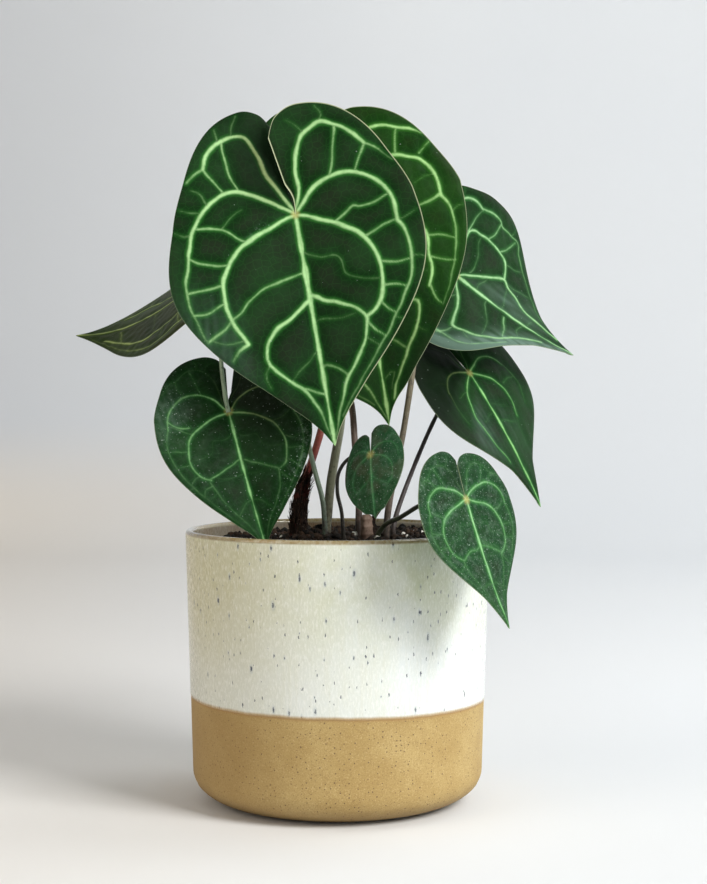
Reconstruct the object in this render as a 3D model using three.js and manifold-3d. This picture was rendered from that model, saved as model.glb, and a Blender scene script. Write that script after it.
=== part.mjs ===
// Potted Anthurium clarinervium: eight heart-shaped leaves on long petioles, rooted in soil
// that fills a glazed cylinder pot. Millimetres, +Z up, origin on the axis of the pot where
// it stands. The plant is seen from -Y, with +X to the right.
import * as THREE from 'three';
import { mergeVertices } from 'three/addons/utils/BufferGeometryUtils.js';
import Module from 'manifold-3d';

const wasm = await Module();
wasm.setup();

// Driving dimensions of the pot
const POT_HEIGHT = 133.8;
const POT_RADIUS = 75;
const POT_LOW_RADIUS = 71.7;
const POT_FOOT_RADIUS = 47.5;
const POT_ROUNDING = 16;
const POT_WALL = 3.6;
const POT_FLOOR = 8;
const POT_FLOOR_RADIUS = 50;
const POT_INNER_ROUNDING = 12;
const POT_SIDES = 44;
const LIP_ARC_STEPS = 6;
const ROUNDING_STEPS = 6;
const INNER_ROUNDING_STEPS = [0, 0.1, 0.35, 0.7, 1];

// Driving dimensions of the soil, which lies higher on the right and round the stems
const SOIL_GAP = 0.3;
const SOIL_LEVEL = 127.6;
const SOIL_TILT = [0.03, 0.015];
const SOIL_MOUNDS = [
  { at: [-9.5, 5], height: 5.4, spread: 16 },
  { at: [18, 4], height: 1.2, spread: 14 },
];
const SOIL_CRUMB = 0.5;
const SOIL_RINGS = 9;
const HOLE_DEPTH = 16;
const HOLE_CLEARANCE = 0.5;
const HOLE_SIDES = 10;

// Leaf outline as distance from the petiole joint over leaf length, by angle from the tip
const OUTLINE_ANGLE = [0, 2.5, 8, 20, 38, 60, 90, 115, 145, 163, 173, 180];
const OUTLINE_REACH = [1, 0.93, 0.845, 0.745, 0.675, 0.63, 0.53, 0.49, 0.503, 0.487, 0.445, 0.36];
const LOBE_START = 120;
const SINUS_ANGLE = 176;

// Primary veins leave the joint at one angle and arc towards the tip to another
const VEINS = [
  { start: 72, end: 36, reach: 0.785 },
  { start: 138, end: 71, reach: 0.92 },
  { start: 168, end: 127, reach: 0.92 },
];
const VEIN_ARC = [0.38, 0.86];
const INNER_RING = 0.785;
const OUTER_RING = 0.92;
const OUTER_RING_END = 130;
const INNER_RING_END = 40;
const RIDGE_TOP = 0.35;
const RIDGE_UNDER = 0.5;
const RIDGE_HALF_WIDTH = 1.6;
const FINE_ROWS = [0.2, 0.42, 0.62, 0.763, 0.785, 0.807, 0.898, 0.92, 0.942, 1];
const PLAIN_ROWS = [0.22, 0.48, 0.7, 0.785, 0.86, 0.92, 1];

// Leaves. at: petiole joint. yaw, nod, roll: the blade faces -Y with its tip down, then yaw
// turns it to the right, nod turns its face up and roll swings its tip to the right.
// width, lobe, fold, cup, lobeEnd, lift and taper are pairs, left half then right half.
// bend: curvature of the midrib behind the joint, at it and at the tip, per leaf length.
// fold: angle at which a half rises from the midrib. cup: its curvature across.
// lobeEnd: angle that a lobe reaches, over 180 where it crosses the other lobe.
// lift: how far a lobe stands forward, and drip: how drawn out the tip is.
const LEAVES = {
  front: {
    at: [-19.4, -40, 284.6], yaw: -1, nod: 13.5, roll: 10, length: 111,
    width: [0.99, 0.97], lobe: [1.11, 0.99], bend: [-0.12, 0.29, 0.32],
    fold: [6.5, 11.5], cup: [0.15, 0.04], twist: -1,
    lobeEnd: [175, 190], lift: [-0.06, 0.03], taper: [0.13, -0.13], drip: 0, fine: true,
  },
  rear: {
    at: [4.2, 1, 293.5], yaw: 21, nod: 7.5, roll: 12, length: 111.7,
    width: [1, 1], lobe: [1, 0.91], bend: [0.1, 0.27, 0.22],
    fold: [8.5, 14.5], cup: [0.1, 0.08], twist: -1.5,
    lobeEnd: [178, 179], lift: [0, -0.02], taper: [-0.02, -0.44], drip: -0.05, fine: true,
  },
  upper_right: {
    at: [60.7, 41, 261.3], yaw: 33, nod: 21.5, roll: 51, length: 75.5,
    width: [1.02, 1.35], lobe: [0.85, 1.13], bend: [0, 0.03, -0.71],
    fold: [0.5, 9.5], cup: [0.25, 0.12], twist: -38.5,
    lobeEnd: [178, 178], lift: [-0.13, 0], taper: [-0.07, 0], drip: 0.09, fine: true,
    wave: [0.03, -0.03],
  },
  upper_left: {
    at: [-61.5, 29, 264], yaw: -65.5, nod: 44.5, roll: -49, length: 96.8,
    width: [1, 1], lobe: [0.85, 0.85], bend: [0, 0.33, -1.68],
    fold: [-2.5, 2.5], cup: [0.24, 0.19], twist: 0.5,
    lobeEnd: [178, 178], lift: [-0.06, -0.06], taper: [0, 0], drip: 0.01,
  },
  lower_left: {
    at: [-51.7, -29, 191.8], yaw: -10, nod: 24.5, roll: 18.5, length: 69.8,
    width: [0.99, 0.97], lobe: [1, 1], bend: [0.04, 0.38, 0.52],
    fold: [18, 8.5], cup: [-0.23, 0.09], twist: -4,
    lobeEnd: [187, 162], lift: [-0.05, -0.05], taper: [-0.19, -0.02], drip: -0.02,
  },
  middle_right: {
    at: [67.6, 41, 211], yaw: 28.5, nod: 28, roll: 21.5, length: 78.5,
    width: [1, 0.99], lobe: [1, 0.99], bend: [0.02, 0.28, 0.29],
    fold: [14, -10], cup: [0.12, 0.28], twist: -10.5,
    lobeEnd: [178, 178], lift: [-0.08, -0.06], taper: [-0.13, 0], drip: 0.1,
  },
  lower_right: {
    at: [58.8, -74, 152.4], yaw: 42, nod: 17, roll: 6.5, length: 61.4,
    width: [1.01, 0.99], lobe: [0.83, 0.74], bend: [-0.03, 0.02, -0.35],
    fold: [5.5, -5], cup: [0.11, 0.03], twist: -11,
    lobeEnd: [179, 177], lift: [0.02, 0], taper: [0, -0.04], drip: 0.05,
  },
  small: {
    at: [16, -44, 171.8], yaw: -31, nod: 28.5, roll: 16.5, length: 32.6,
    width: [0.99, 1.03], lobe: [0.86, 0.98], bend: [0.05, 0.28, 0.25],
    fold: [-15, 8], cup: [0.38, 0.05], twist: 3,
    lobeEnd: [175, 177], lift: [-0.01, 0], taper: [0.02, -0.12], drip: -0.12, small: true,
  },
};
const BLADE_THICKNESS = { fine: 0.9, plain: 0.8, small: 0.7 };

// Petioles. foot: where one enters the soil. way: points on its route up to its blade.
// radius: at the soil, half way and at the blade. over: it meets the blade from the face side.
const PETIOLES = {
  front: {
    foot: [-5.5, 4.5], radius: [2.3, 2, 1.5],
    way: [[-3.2, 0, 157.3], [-1.2, -3, 169.3], [1.8, -8, 187.6], [2.5, -14, 215], [-2, -20, 245],
      [-12, -26, 270]],
  },
  rear: {
    foot: [-20, 8], radius: [1.9, 1.8, 1.4],
    way: [[-17.8, 8, 153.4], [-13.8, 8, 164.4], [-8.3, 9, 182.3], [-2.5, 11, 212], [2, 14, 245],
      [5, 16, 275]],
  },
  upper_right: {
    foot: [24.1, 6], radius: [1.7, 1.5, 1.2],
    way: [[25.4, 7, 143.8], [28.9, 8.5, 162.1], [32.5, 10, 179.7], [36.7, 11.5, 206], [38.6, 16.2, 219],
      [41, 27.2, 231], [44.5, 36, 241], [51, 42, 251]],
  },
  upper_left: {
    foot: [10.5, 9], radius: [1.7, 1.6, 1.3],
    way: [[10.5, 10, 145], [9.7, 13, 157.1], [8.5, 16, 176.7], [6.5, 20, 197], [-2, 25, 222],
      [-18, 30, 240], [-38, 33, 250]],
  },
  lower_left: {
    foot: [-8.5, -4], radius: [1.3, 1.1, 1],
    way: [[-9, -3, 147], [-12, 1, 162.1], [-18.5, 1, 190], [-30, -1, 214], [-42, -6, 228],
      [-51, -14, 230], [-55.5, -21, 222]],
    over: true,
  },
  middle_right: {
    foot: [27.8, 14], radius: [1.3, 1.1, 0.9],
    way: [[29.5, 16.5, 139.5], [38.2, 26, 162.1], [50.3, 38, 188.4], [60, 49, 204]],
  },
  lower_right: {
    foot: [20, -4], radius: [1.3, 1.1, 0.9],
    way: [[23.5, -8.5, 136.3], [30.7, -20, 140.8], [39, -36, 147.2], [46, -52, 151]],
  },
  small: {
    foot: [3, -13], radius: [1, 0.9, 0.7],
    way: [[2.1, -17, 143.1], [0.1, -21, 153.1], [1, -24.5, 163], [6.5, -28.5, 170],
      [14, -32.5, 170.5]],
  },
};
const PETIOLE_SIDES = 8;
const PETIOLE_BURIED = 13;
const JOINT_GAP = 1.9;
const OVER_GAP = 2.4;

// Bud scale round the foot of the rear petiole, stem stub and young shoot
const SHEATH = { bottom: -7, top: 35, inner: 0.7, wall: [2.2, 0.9], open: 50, rows: 7, sides: 9 };
const STUB = { at: [14.4, -1], radius: 3.3, top: 141, lean: [-0.4, 0] };
const SHOOT = {
  foot: [17.2, 4.5], radius: 1.5,
  way: [[17.9, 4, 138.5], [21.2, 1.5, 143.5], [24, -0.5, 147]],
};

const finish = (colour, roughness, metalness = 0) =>
  new THREE.MeshStandardMaterial({ color: colour, roughness, metalness });
const FINISH = {
  pot: finish(0xeceee2, 0.25),
  soil: finish(0x1d1510, 0.95),
  blade: finish(0x1f4a33, 0.5),
  petiole: finish(0x6d7a4e, 0.5),
  redPetiole: finish(0x8a3528, 0.5),
  darkPetiole: finish(0x3a2f2a, 0.5),
  sheath: finish(0x4a3022, 0.9),
  stub: finish(0xa97f6b, 0.7),
};

const vec = (x, y, z) => new THREE.Vector3(x, y, z);
const rad = THREE.MathUtils.degToRad;
const clamp = THREE.MathUtils.clamp;
const smooth = t => {
  const u = clamp(t, 0, 1);
  return u * u * (3 - 2 * u);
};

function geometryFrom(points, triangles) {
  const geometry = new THREE.BufferGeometry();
  const flat = points.flatMap(p => [p.x, p.y, p.z]);
  geometry.setAttribute('position', new THREE.Float32BufferAttribute(flat, 3));
  geometry.setIndex(triangles);
  geometry.computeVertexNormals();
  return geometry;
}

// Closed skin over rings of equal size, from a first pole to a last pole. The rings turn
// anticlockwise as seen from the last pole.
function skin(firstPole, rings, lastPole) {
  const sides = rings[0].length;
  const points = [firstPole, ...rings.flat(), lastPole];
  const index = (ring, side) => 1 + ring * sides + (side % sides);
  const triangles = [];
  for (let side = 0; side < sides; side++) {
    triangles.push(0, index(0, side + 1), index(0, side));
    for (let ring = 0; ring + 1 < rings.length; ring++) {
      const [a, b] = [index(ring, side), index(ring, side + 1)];
      const [c, d] = [index(ring + 1, side), index(ring + 1, side + 1)];
      triangles.push(a, b, d, a, d, c);
    }
    const last = rings.length - 1;
    triangles.push(points.length - 1, index(last, side), index(last, side + 1));
  }
  return geometryFrom(points, triangles);
}

// Slopes and values of a monotone cubic curve through the outline points
const outlineSlope = OUTLINE_ANGLE.map((angle, i) => {
  if (i === 0 || i === OUTLINE_ANGLE.length - 1) {
    const j = i === 0 ? 1 : i;
    return (OUTLINE_REACH[j] - OUTLINE_REACH[j - 1]) / (OUTLINE_ANGLE[j] - OUTLINE_ANGLE[j - 1]);
  }
  const before = angle - OUTLINE_ANGLE[i - 1];
  const after = OUTLINE_ANGLE[i + 1] - angle;
  const slopeBefore = (OUTLINE_REACH[i] - OUTLINE_REACH[i - 1]) / before;
  const slopeAfter = (OUTLINE_REACH[i + 1] - OUTLINE_REACH[i]) / after;
  if (slopeBefore * slopeAfter <= 0) return 0;
  const [w1, w2] = [2 * after + before, after + 2 * before];
  return (w1 + w2) / (w1 / slopeBefore + w2 / slopeAfter);
});

function outlineReach(angle) {
  let i = 0;
  while (i < OUTLINE_ANGLE.length - 2 && angle > OUTLINE_ANGLE[i + 1]) i++;
  const span = OUTLINE_ANGLE[i + 1] - OUTLINE_ANGLE[i];
  const t = (angle - OUTLINE_ANGLE[i]) / span;
  return (2 * t ** 3 - 3 * t * t + 1) * OUTLINE_REACH[i]
    + (t ** 3 - 2 * t * t + t) * span * outlineSlope[i]
    + (3 * t * t - 2 * t ** 3) * OUTLINE_REACH[i + 1]
    + (t ** 3 - t * t) * span * outlineSlope[i + 1];
}

// Place along the curved midrib: distance run, drop behind the joint plane and slope angle
function midrib(leaf, along) {
  const steps = 16;
  const slope = a => {
    if (a < 0) return leaf.bend[0] * a / leaf.length;
    const f = a / leaf.length;
    return leaf.bend[1] * f + (leaf.bend[2] - leaf.bend[1]) * f * f / 2;
  };
  let [run, rise] = [0, 0];
  for (let i = 0; i < steps; i++) {
    const middle = slope(along * (i + 0.5) / steps);
    run += Math.cos(middle) * along / steps;
    rise -= Math.sin(middle) * along / steps;
  }
  return { run, rise, slope: slope(along) };
}

// Middle surface of a blade in its own frame: joint at 0, face to -Y, tip to -Z.
// side is 0 for the left half and 1 for the right, angle runs 0 to 180 from the tip, and
// reach runs 0 to 1 from the joint to the edge.
function bladePoint(leaf, side, angle, reach) {
  const sinusEnd = SINUS_ANGLE + (leaf.lobeEnd[side] - SINUS_ANGLE) * smooth((reach - 0.12) / 0.3);
  const past = Math.max(0, angle - LOBE_START) / (180 - LOBE_START);
  const turned = rad(Math.min(angle, LOBE_START) + past * (sinusEnd - LOBE_START));
  const drawn = 1 - leaf.drip * smooth(angle / 14) * (1 - smooth((angle - 22) / 55));
  const distance = outlineReach(angle) * drawn * reach * leaf.length;
  let along = distance * Math.cos(turned);
  if (along < 0) along *= leaf.lobe[side];
  const ahead = clamp(along / leaf.length, -0.6, 1);
  const taper = 1 + leaf.taper[side] * Math.max(0, ahead);
  const across = distance * Math.sin(turned) * leaf.width[side] * taper;
  const fold = rad(leaf.fold[side]);
  const cup = leaf.cup[side] / leaf.length;
  const out = (Math.sin(fold) - Math.sin(fold - cup * across)) / cup;
  const wave = leaf.wave && side === 0
    ? leaf.wave[0] * Math.sin(3 * rad(angle)) + leaf.wave[1] * Math.sin(5 * rad(angle)) : 0;
  const lobeLift = leaf.lift[side] * smooth((angle - 110) / 70) * reach;
  const up = (Math.cos(fold - cup * across) - Math.cos(fold)) / cup
    + leaf.length * (lobeLift + wave * reach * reach);
  const twist = rad(leaf.twist) * ahead;
  const x = (side === 1 ? out : -out) * Math.cos(twist) - up * Math.sin(twist);
  const proud = (side === 1 ? out : -out) * Math.sin(twist) + up * Math.cos(twist);
  const rib = midrib(leaf, along);
  const face = rib.rise + proud * Math.cos(rib.slope);
  const down = rib.run + proud * Math.sin(rib.slope);
  return vec(x, -face, -down);
}

function bladeNormal(leaf, side, angle, reach) {
  const at = clamp(angle, 0.6, 179.4);
  const r = Math.min(reach, 0.995);
  const turn = bladePoint(leaf, side, at + 0.5, r).sub(bladePoint(leaf, side, at - 0.5, r));
  const out = bladePoint(leaf, side, at, r + 0.005).sub(bladePoint(leaf, side, at, r - 0.005));
  const normal = side === 1 ? out.cross(turn) : turn.cross(out);
  return normal.normalize();
}

// Columns of one half of the blade grid, from the midrib to the edge of the lobe
function bladeColumns(leaf) {
  const columns = [{ start: 0, end: 0, shift: 0, crest: 1 }, { start: 0, end: 0, shift: 1 }];
  columns.push({ start: 14, end: 3 });
  if (!leaf.small) columns.push({ start: 30, end: 9 });
  columns.push({ start: 50, end: 20 });
  VEINS.forEach(({ start, end, reach }, i) => {
    if (!leaf.small) columns.push({ start, end, shift: -1 });
    columns.push({ start, end, shift: 0, crest: reach });
    if (!leaf.small) columns.push({ start, end, shift: 1 });
    if (i === 0) columns.push({ start: 105, end: 53 });
    if (i === 1) columns.push({ start: 153, end: 99 });
  });
  if (leaf.fine) columns.push({ start: 174, end: 146 });
  columns.push({ start: 176, end: 160 }, { start: 178, end: 171 }, { start: 180, end: 180 });
  return columns;
}

function bladeGeometry(leaf) {
  const rows = leaf.fine ? FINE_ROWS : PLAIN_ROWS;
  const half = bladeColumns(leaf);
  const columns = [
    ...half.slice(1).reverse().map(column => ({ ...column, side: 1 })),
    ...half.map(column => ({ ...column, side: 0 })),
  ];
  const thickness = leaf.fine ? BLADE_THICKNESS.fine
    : leaf.small ? BLADE_THICKNESS.small : BLADE_THICKNESS.plain;
  const ridgeScale = leaf.length / LEAVES.front.length * 0.6 + 0.4;
  const width = RIDGE_HALF_WIDTH * ridgeScale;

  const columnAngle = (column, reach) => {
    const arc = smooth((reach - VEIN_ARC[0]) / (VEIN_ARC[1] - VEIN_ARC[0]));
    const angle = column.start + (column.end - column.start) * arc;
    const radius = reach * outlineReach(angle) * leaf.length;
    const spread = Math.min(8, THREE.MathUtils.radToDeg(width / radius));
    return angle + (column.shift ?? 0) * spread;
  };
  const ridge = (column, reach) => {
    const onVein = column.crest ? (reach <= column.crest ? 1 : 0) : 0;
    const onOuter = reach === OUTER_RING && column.end < OUTER_RING_END ? 1 : 0;
    const onInner = reach === INNER_RING && column.end < INNER_RING_END ? 1 : 0;
    return reach === 1 ? 0 : Math.max(onVein, onOuter, onInner) * ridgeScale * (1 - 0.4 * reach);
  };

  const top = [vec(0, -thickness / 2 - RIDGE_TOP * ridgeScale, 0)];
  const under = [vec(0, thickness / 2 + RIDGE_UNDER * ridgeScale, 0)];
  for (const reach of rows) {
    for (const column of columns) {
      const angle = columnAngle(column, reach);
      const middle = bladePoint(leaf, column.side, angle, reach);
      const normal = bladeNormal(leaf, column.side, angle, reach);
      if (angle === 0) normal.add(bladeNormal(leaf, 1, 0, reach)).normalize();
      const height = ridge(column, reach);
      top.push(middle.clone().addScaledVector(normal, thickness / 2 + RIDGE_TOP * height));
      under.push(middle.clone().addScaledVector(normal, -thickness / 2 - RIDGE_UNDER * height));
    }
  }

  const count = top.length;
  const index = (row, column) => 1 + row * columns.length + column;
  const triangles = [];
  const both = (a, b, c) => triangles.push(a, b, c, a + count, c + count, b + count);
  const wall = (a, b) => triangles.push(a, b, a + count, b, b + count, a + count);
  for (let column = 0; column + 1 < columns.length; column++) {
    both(0, index(0, column + 1), index(0, column));
    for (let row = 0; row + 1 < rows.length; row++) {
      const [a, b] = [index(row, column), index(row, column + 1)];
      const [c, d] = [index(row + 1, column), index(row + 1, column + 1)];
      both(a, d, c);
      both(a, b, d);
    }
    wall(index(rows.length - 1, column), index(rows.length - 1, column + 1));
  }
  for (const [column, outward] of [[0, true], [columns.length - 1, false]]) {
    let inner = 0;
    for (let row = 0; row < rows.length; row++) {
      const outer = index(row, column);
      if (outward) wall(inner, outer);
      else wall(outer, inner);
      inner = outer;
    }
  }
  return geometryFrom([...top, ...under], triangles);
}

// Turns a blade from its own frame to its place on the plant
const leafTurn = leaf => new THREE.Euler(rad(-leaf.nod), rad(-leaf.roll), rad(leaf.yaw), 'ZXY');
const onLeaf = (leaf, across, proud, along) =>
  vec(across, -proud, -along).applyEuler(leafTurn(leaf)).add(vec(...leaf.at));

function soilHeight(x, y) {
  let height = SOIL_LEVEL + SOIL_TILT[0] * x + SOIL_TILT[1] * y;
  for (const mound of SOIL_MOUNDS) {
    const distance = Math.hypot(x - mound.at[0], y - mound.at[1]) / mound.spread;
    height += mound.height * Math.exp(-distance * distance);
  }
  const crumb = Math.sin(x * 0.43 + 1) * Math.sin(y * 0.51) + Math.sin(x * 0.21 - y * 0.33);
  return height + SOIL_CRUMB * crumb;
}

// Tube with a radius of its own at each point of a path
function tube(path, radii, sides) {
  const rings = path.map((centre, i) => {
    const before = path[Math.max(0, i - 1)];
    const after = path[Math.min(path.length - 1, i + 1)];
    const along = after.clone().sub(before).normalize();
    const right = vec(0, 1, 0).cross(along).normalize();
    const up = along.clone().cross(right);
    return Array.from({ length: sides }, (_, side) => {
      const angle = side / sides * 2 * Math.PI;
      return centre.clone()
        .addScaledVector(right, Math.cos(angle) * radii[i])
        .addScaledVector(up, Math.sin(angle) * radii[i]);
    });
  });
  return skin(path[0], rings, path[path.length - 1]);
}

function petiolePath(name) {
  const { foot, way, over } = PETIOLES[name];
  const leaf = LEAVES[name];
  const ground = soilHeight(...foot);
  const [arrival, end] = over
    ? [onLeaf(leaf, 0.5, OVER_GAP + 0.6, -7), onLeaf(leaf, 0, OVER_GAP, -0.5)]
    : [onLeaf(leaf, 0, -6, -1), onLeaf(leaf, 0, -JOINT_GAP, 0)];
  const rise = [vec(foot[0], foot[1], ground + 2.5), ...way.map(p => vec(...p)), arrival];
  const curve = new THREE.CatmullRomCurve3(rise, false, 'centripetal');
  const steps = Math.round(curve.getLength() / 11) + 2;
  const buried = vec(foot[0], foot[1], ground - PETIOLE_BURIED);
  return [buried, ...curve.getSpacedPoints(steps), end];
}

function petioleRadii(name, path) {
  const [low, middle, high] = PETIOLES[name].radius;
  const last = path.length - 1;
  return path.map((_, i) => {
    const t = i / last;
    const slim = t < 0.5 ? low + (middle - low) * smooth(t * 2) : middle
      + (high - middle) * smooth(t * 2 - 1);
    return i === last ? slim * 1.1 : slim;
  });
}

// Open sleeve round the rear petiole, a split cone with a torn top edge
function sheathGeometry() {
  const path = new THREE.CatmullRomCurve3(petiolePath('rear'), false, 'centripetal');
  const { foot, radius } = PETIOLES.rear;
  const ground = soilHeight(...foot);
  const open = rad(SHEATH.open);
  const centreAt = z => {
    if (z < ground + 2.5) return vec(foot[0], foot[1], z);
    let [low, high] = [0, 1];
    for (let i = 0; i < 24; i++) {
      const middle = (low + high) / 2;
      if (path.getPoint(middle).z < z) low = middle;
      else high = middle;
    }
    return path.getPoint(low);
  };
  const points = [];
  for (const layer of [0, 1]) {
    for (let row = 0; row <= SHEATH.rows; row++) {
      const t = row / SHEATH.rows;
      for (let side = 0; side <= SHEATH.sides; side++) {
        const s = side / SHEATH.sides;
        const angle = Math.PI / 2 + open / 2 + s * (2 * Math.PI - open);
        const torn = t * (3 * Math.sin(s * 9) + 4 * Math.sin(s * 17 + 1));
        const height = ground + SHEATH.bottom + t * (SHEATH.top - SHEATH.bottom) + torn;
        const wall = SHEATH.wall[0] + (SHEATH.wall[1] - SHEATH.wall[0]) * t;
        const r = radius[0] + SHEATH.inner + (layer ? wall : 0);
        const centre = centreAt(height);
        points.push(centre.add(vec(r * Math.cos(angle), r * Math.sin(angle), 0)));
      }
    }
  }
  const across = SHEATH.sides + 1;
  const count = across * (SHEATH.rows + 1);
  const index = (row, side) => row * across + side;
  const triangles = [];
  const quad = (a, b, c, d) => triangles.push(a, b, d, a, d, c);
  for (let side = 0; side < SHEATH.sides; side++) {
    for (let row = 0; row < SHEATH.rows; row++) {
      const [a, b] = [index(row, side), index(row, side + 1)];
      const [c, d] = [index(row + 1, side), index(row + 1, side + 1)];
      quad(a + count, b + count, c + count, d + count);
      triangles.push(a, d, b, a, c, d);
    }
    const topRow = SHEATH.rows;
    const [a, b] = [index(0, side), index(0, side + 1)];
    const [c, d] = [index(topRow, side), index(topRow, side + 1)];
    quad(a, b, a + count, b + count);
    quad(c + count, d + count, c, d);
  }
  for (let row = 0; row < SHEATH.rows; row++) {
    const [a, c] = [index(row, 0), index(row + 1, 0)];
    const [b, d] = [index(row, SHEATH.sides), index(row + 1, SHEATH.sides)];
    quad(a, a + count, c, c + count);
    quad(b + count, b, d + count, d);
  }
  return geometryFrom(points, triangles);
}

function stubGeometry() {
  const ground = soilHeight(...STUB.at);
  const span = STUB.top - ground;
  const heights = [-12, -2, 0.15 * span, 0.2 * span, 0.45 * span, 0.5 * span, 0.8 * span, span];
  const swell = [0.8, 0.95, 1, 0.9, 1, 0.9, 0.96, 0.6];
  const path = heights.map(h => {
    const lean = Math.max(0, h) / span;
    return vec(STUB.at[0] + STUB.lean[0] * lean, STUB.at[1] + STUB.lean[1] * lean, ground + h);
  });
  return tube(path, swell.map(s => s * STUB.radius), 10);
}

function shootGeometry() {
  const ground = soilHeight(...SHOOT.foot);
  const path = [
    vec(...SHOOT.foot, ground - 8),
    vec(...SHOOT.foot, ground + 1),
    ...SHOOT.way.map(p => vec(...p)),
  ];
  return tube(path, [1, 1, 0.85, 0.6, 0.2].map(s => s * SHOOT.radius), PETIOLE_SIDES);
}

// Radius of the inside of the pot at a height above its floor
function innerRadius(z) {
  const top = POT_RADIUS - POT_WALL;
  const wallLow = POT_LOW_RADIUS - POT_WALL;
  const rounding = clamp((z - POT_FLOOR) / POT_INNER_ROUNDING, 0, 1);
  const inset = (wallLow - POT_FLOOR_RADIUS) * (1 - Math.sqrt(1 - (1 - rounding) ** 2));
  const climb = clamp((z - POT_ROUNDING) / (POT_HEIGHT - POT_ROUNDING), 0, 1);
  return wallLow + (top - wallLow) * climb - inset;
}

function potGeometry() {
  const profile = [new THREE.Vector2(0, 0), new THREE.Vector2(POT_FOOT_RADIUS, 0)];
  const bulge = POT_LOW_RADIUS - POT_FOOT_RADIUS;
  for (let i = 1; i <= ROUNDING_STEPS; i++) {
    const angle = i / ROUNDING_STEPS * Math.PI / 2;
    profile.push(new THREE.Vector2(
      POT_FOOT_RADIUS + bulge * Math.sin(angle), POT_ROUNDING * (1 - Math.cos(angle))));
  }
  const lip = POT_WALL / 2;
  for (let i = 0; i <= LIP_ARC_STEPS; i++) {
    const angle = i / LIP_ARC_STEPS * Math.PI;
    profile.push(new THREE.Vector2(
      POT_RADIUS - lip + lip * Math.cos(angle), POT_HEIGHT - lip + lip * Math.sin(angle)));
  }
  for (const step of [...INNER_ROUNDING_STEPS].reverse()) {
    const z = POT_FLOOR + POT_INNER_ROUNDING * step;
    profile.push(new THREE.Vector2(innerRadius(z), z));
  }
  profile.push(new THREE.Vector2(0, POT_FLOOR));
  return new THREE.LatheGeometry(profile, POT_SIDES).rotateX(Math.PI / 2);
}

function toManifold(geometry) {
  const bare = geometry.clone();
  bare.deleteAttribute('normal');
  bare.deleteAttribute('uv');
  const merged = mergeVertices(bare);
  return new wasm.Manifold(new wasm.Mesh({
    numProp: 3,
    vertProperties: new Float32Array(merged.attributes.position.array),
    triVerts: new Uint32Array(merged.index.array),
  }));
}

function fromManifold(solid) {
  const mesh = solid.getMesh();
  const geometry = new THREE.BufferGeometry();
  geometry.setAttribute('position', new THREE.BufferAttribute(mesh.vertProperties, 3));
  geometry.setIndex(new THREE.BufferAttribute(mesh.triVerts, 1));
  geometry.computeVertexNormals();
  return geometry;
}

// Soil that fills the pot to a bumpy top, with a plain hole for each stem
function soilGeometry() {
  const ringAt = (radius, height) => Array.from({ length: POT_SIDES }, (_, side) => {
    const angle = side / POT_SIDES * 2 * Math.PI;
    const [x, y] = [radius * Math.cos(angle), radius * Math.sin(angle)];
    return vec(x, y, height ?? soilHeight(x, y));
  });
  const bottom = POT_FLOOR + SOIL_GAP;
  const low = INNER_ROUNDING_STEPS.map(step => {
    const z = POT_FLOOR + POT_INNER_ROUNDING * step;
    return ringAt(innerRadius(z) - SOIL_GAP, z + SOIL_GAP);
  });
  const rim = innerRadius(SOIL_LEVEL) - 2 * SOIL_GAP;
  const top = [];
  for (let ring = SOIL_RINGS; ring > 0; ring--) top.push(ringAt(rim * ring / SOIL_RINGS));
  const body = skin(vec(0, 0, bottom), [...low, ...top], vec(0, 0, soilHeight(0, 0)));

  const holes = Object.values(PETIOLES).map(({ foot, radius }) => [foot, radius[0], HOLE_DEPTH]);
  const sheathRadius = PETIOLES.rear.radius[0] + SHEATH.inner + SHEATH.wall[0];
  holes.push([PETIOLES.rear.foot, sheathRadius, -SHEATH.bottom + 2]);
  holes.push([STUB.at, STUB.radius, 13], [SHOOT.foot, SHOOT.radius, 9]);
  let solid = toManifold(body);
  for (const [foot, radius, depth] of holes) {
    const wide = (radius + HOLE_CLEARANCE) / Math.cos(Math.PI / HOLE_SIDES);
    const cutter = new THREE.CylinderGeometry(wide, wide, depth + 20, HOLE_SIDES);
    cutter.rotateX(Math.PI / 2);
    cutter.translate(foot[0], foot[1], soilHeight(...foot) + 10 - depth / 2);
    solid = solid.subtract(toManifold(cutter));
  }
  return fromManifold(solid);
}

const plant = new THREE.Group();

function add(name, geometry, material) {
  const mesh = new THREE.Mesh(geometry, material);
  mesh.name = name;
  plant.add(mesh);
  return mesh;
}

add('pot', potGeometry(), FINISH.pot);
add('soil', soilGeometry(), FINISH.soil);
for (const [name, leaf] of Object.entries(LEAVES)) {
  const blade = add(`blade_${name}`, bladeGeometry(leaf), FINISH.blade);
  blade.position.set(...leaf.at);
  blade.rotation.copy(leafTurn(leaf));
}
const PETIOLE_FINISH = {
  rear: FINISH.redPetiole,
  small: FINISH.darkPetiole,
  middle_right: FINISH.darkPetiole,
};
for (const name of Object.keys(PETIOLES)) {
  const path = petiolePath(name);
  const geometry = tube(path, petioleRadii(name, path), PETIOLE_SIDES);
  add(`petiole_${name}`, geometry, PETIOLE_FINISH[name] ?? FINISH.petiole);
}
add('bud_scale', sheathGeometry(), FINISH.sheath);
add('stem_stub', stubGeometry(), FINISH.stub);
add('young_shoot', shootGeometry(), FINISH.sheath);

export default plant;
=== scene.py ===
import math

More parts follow.
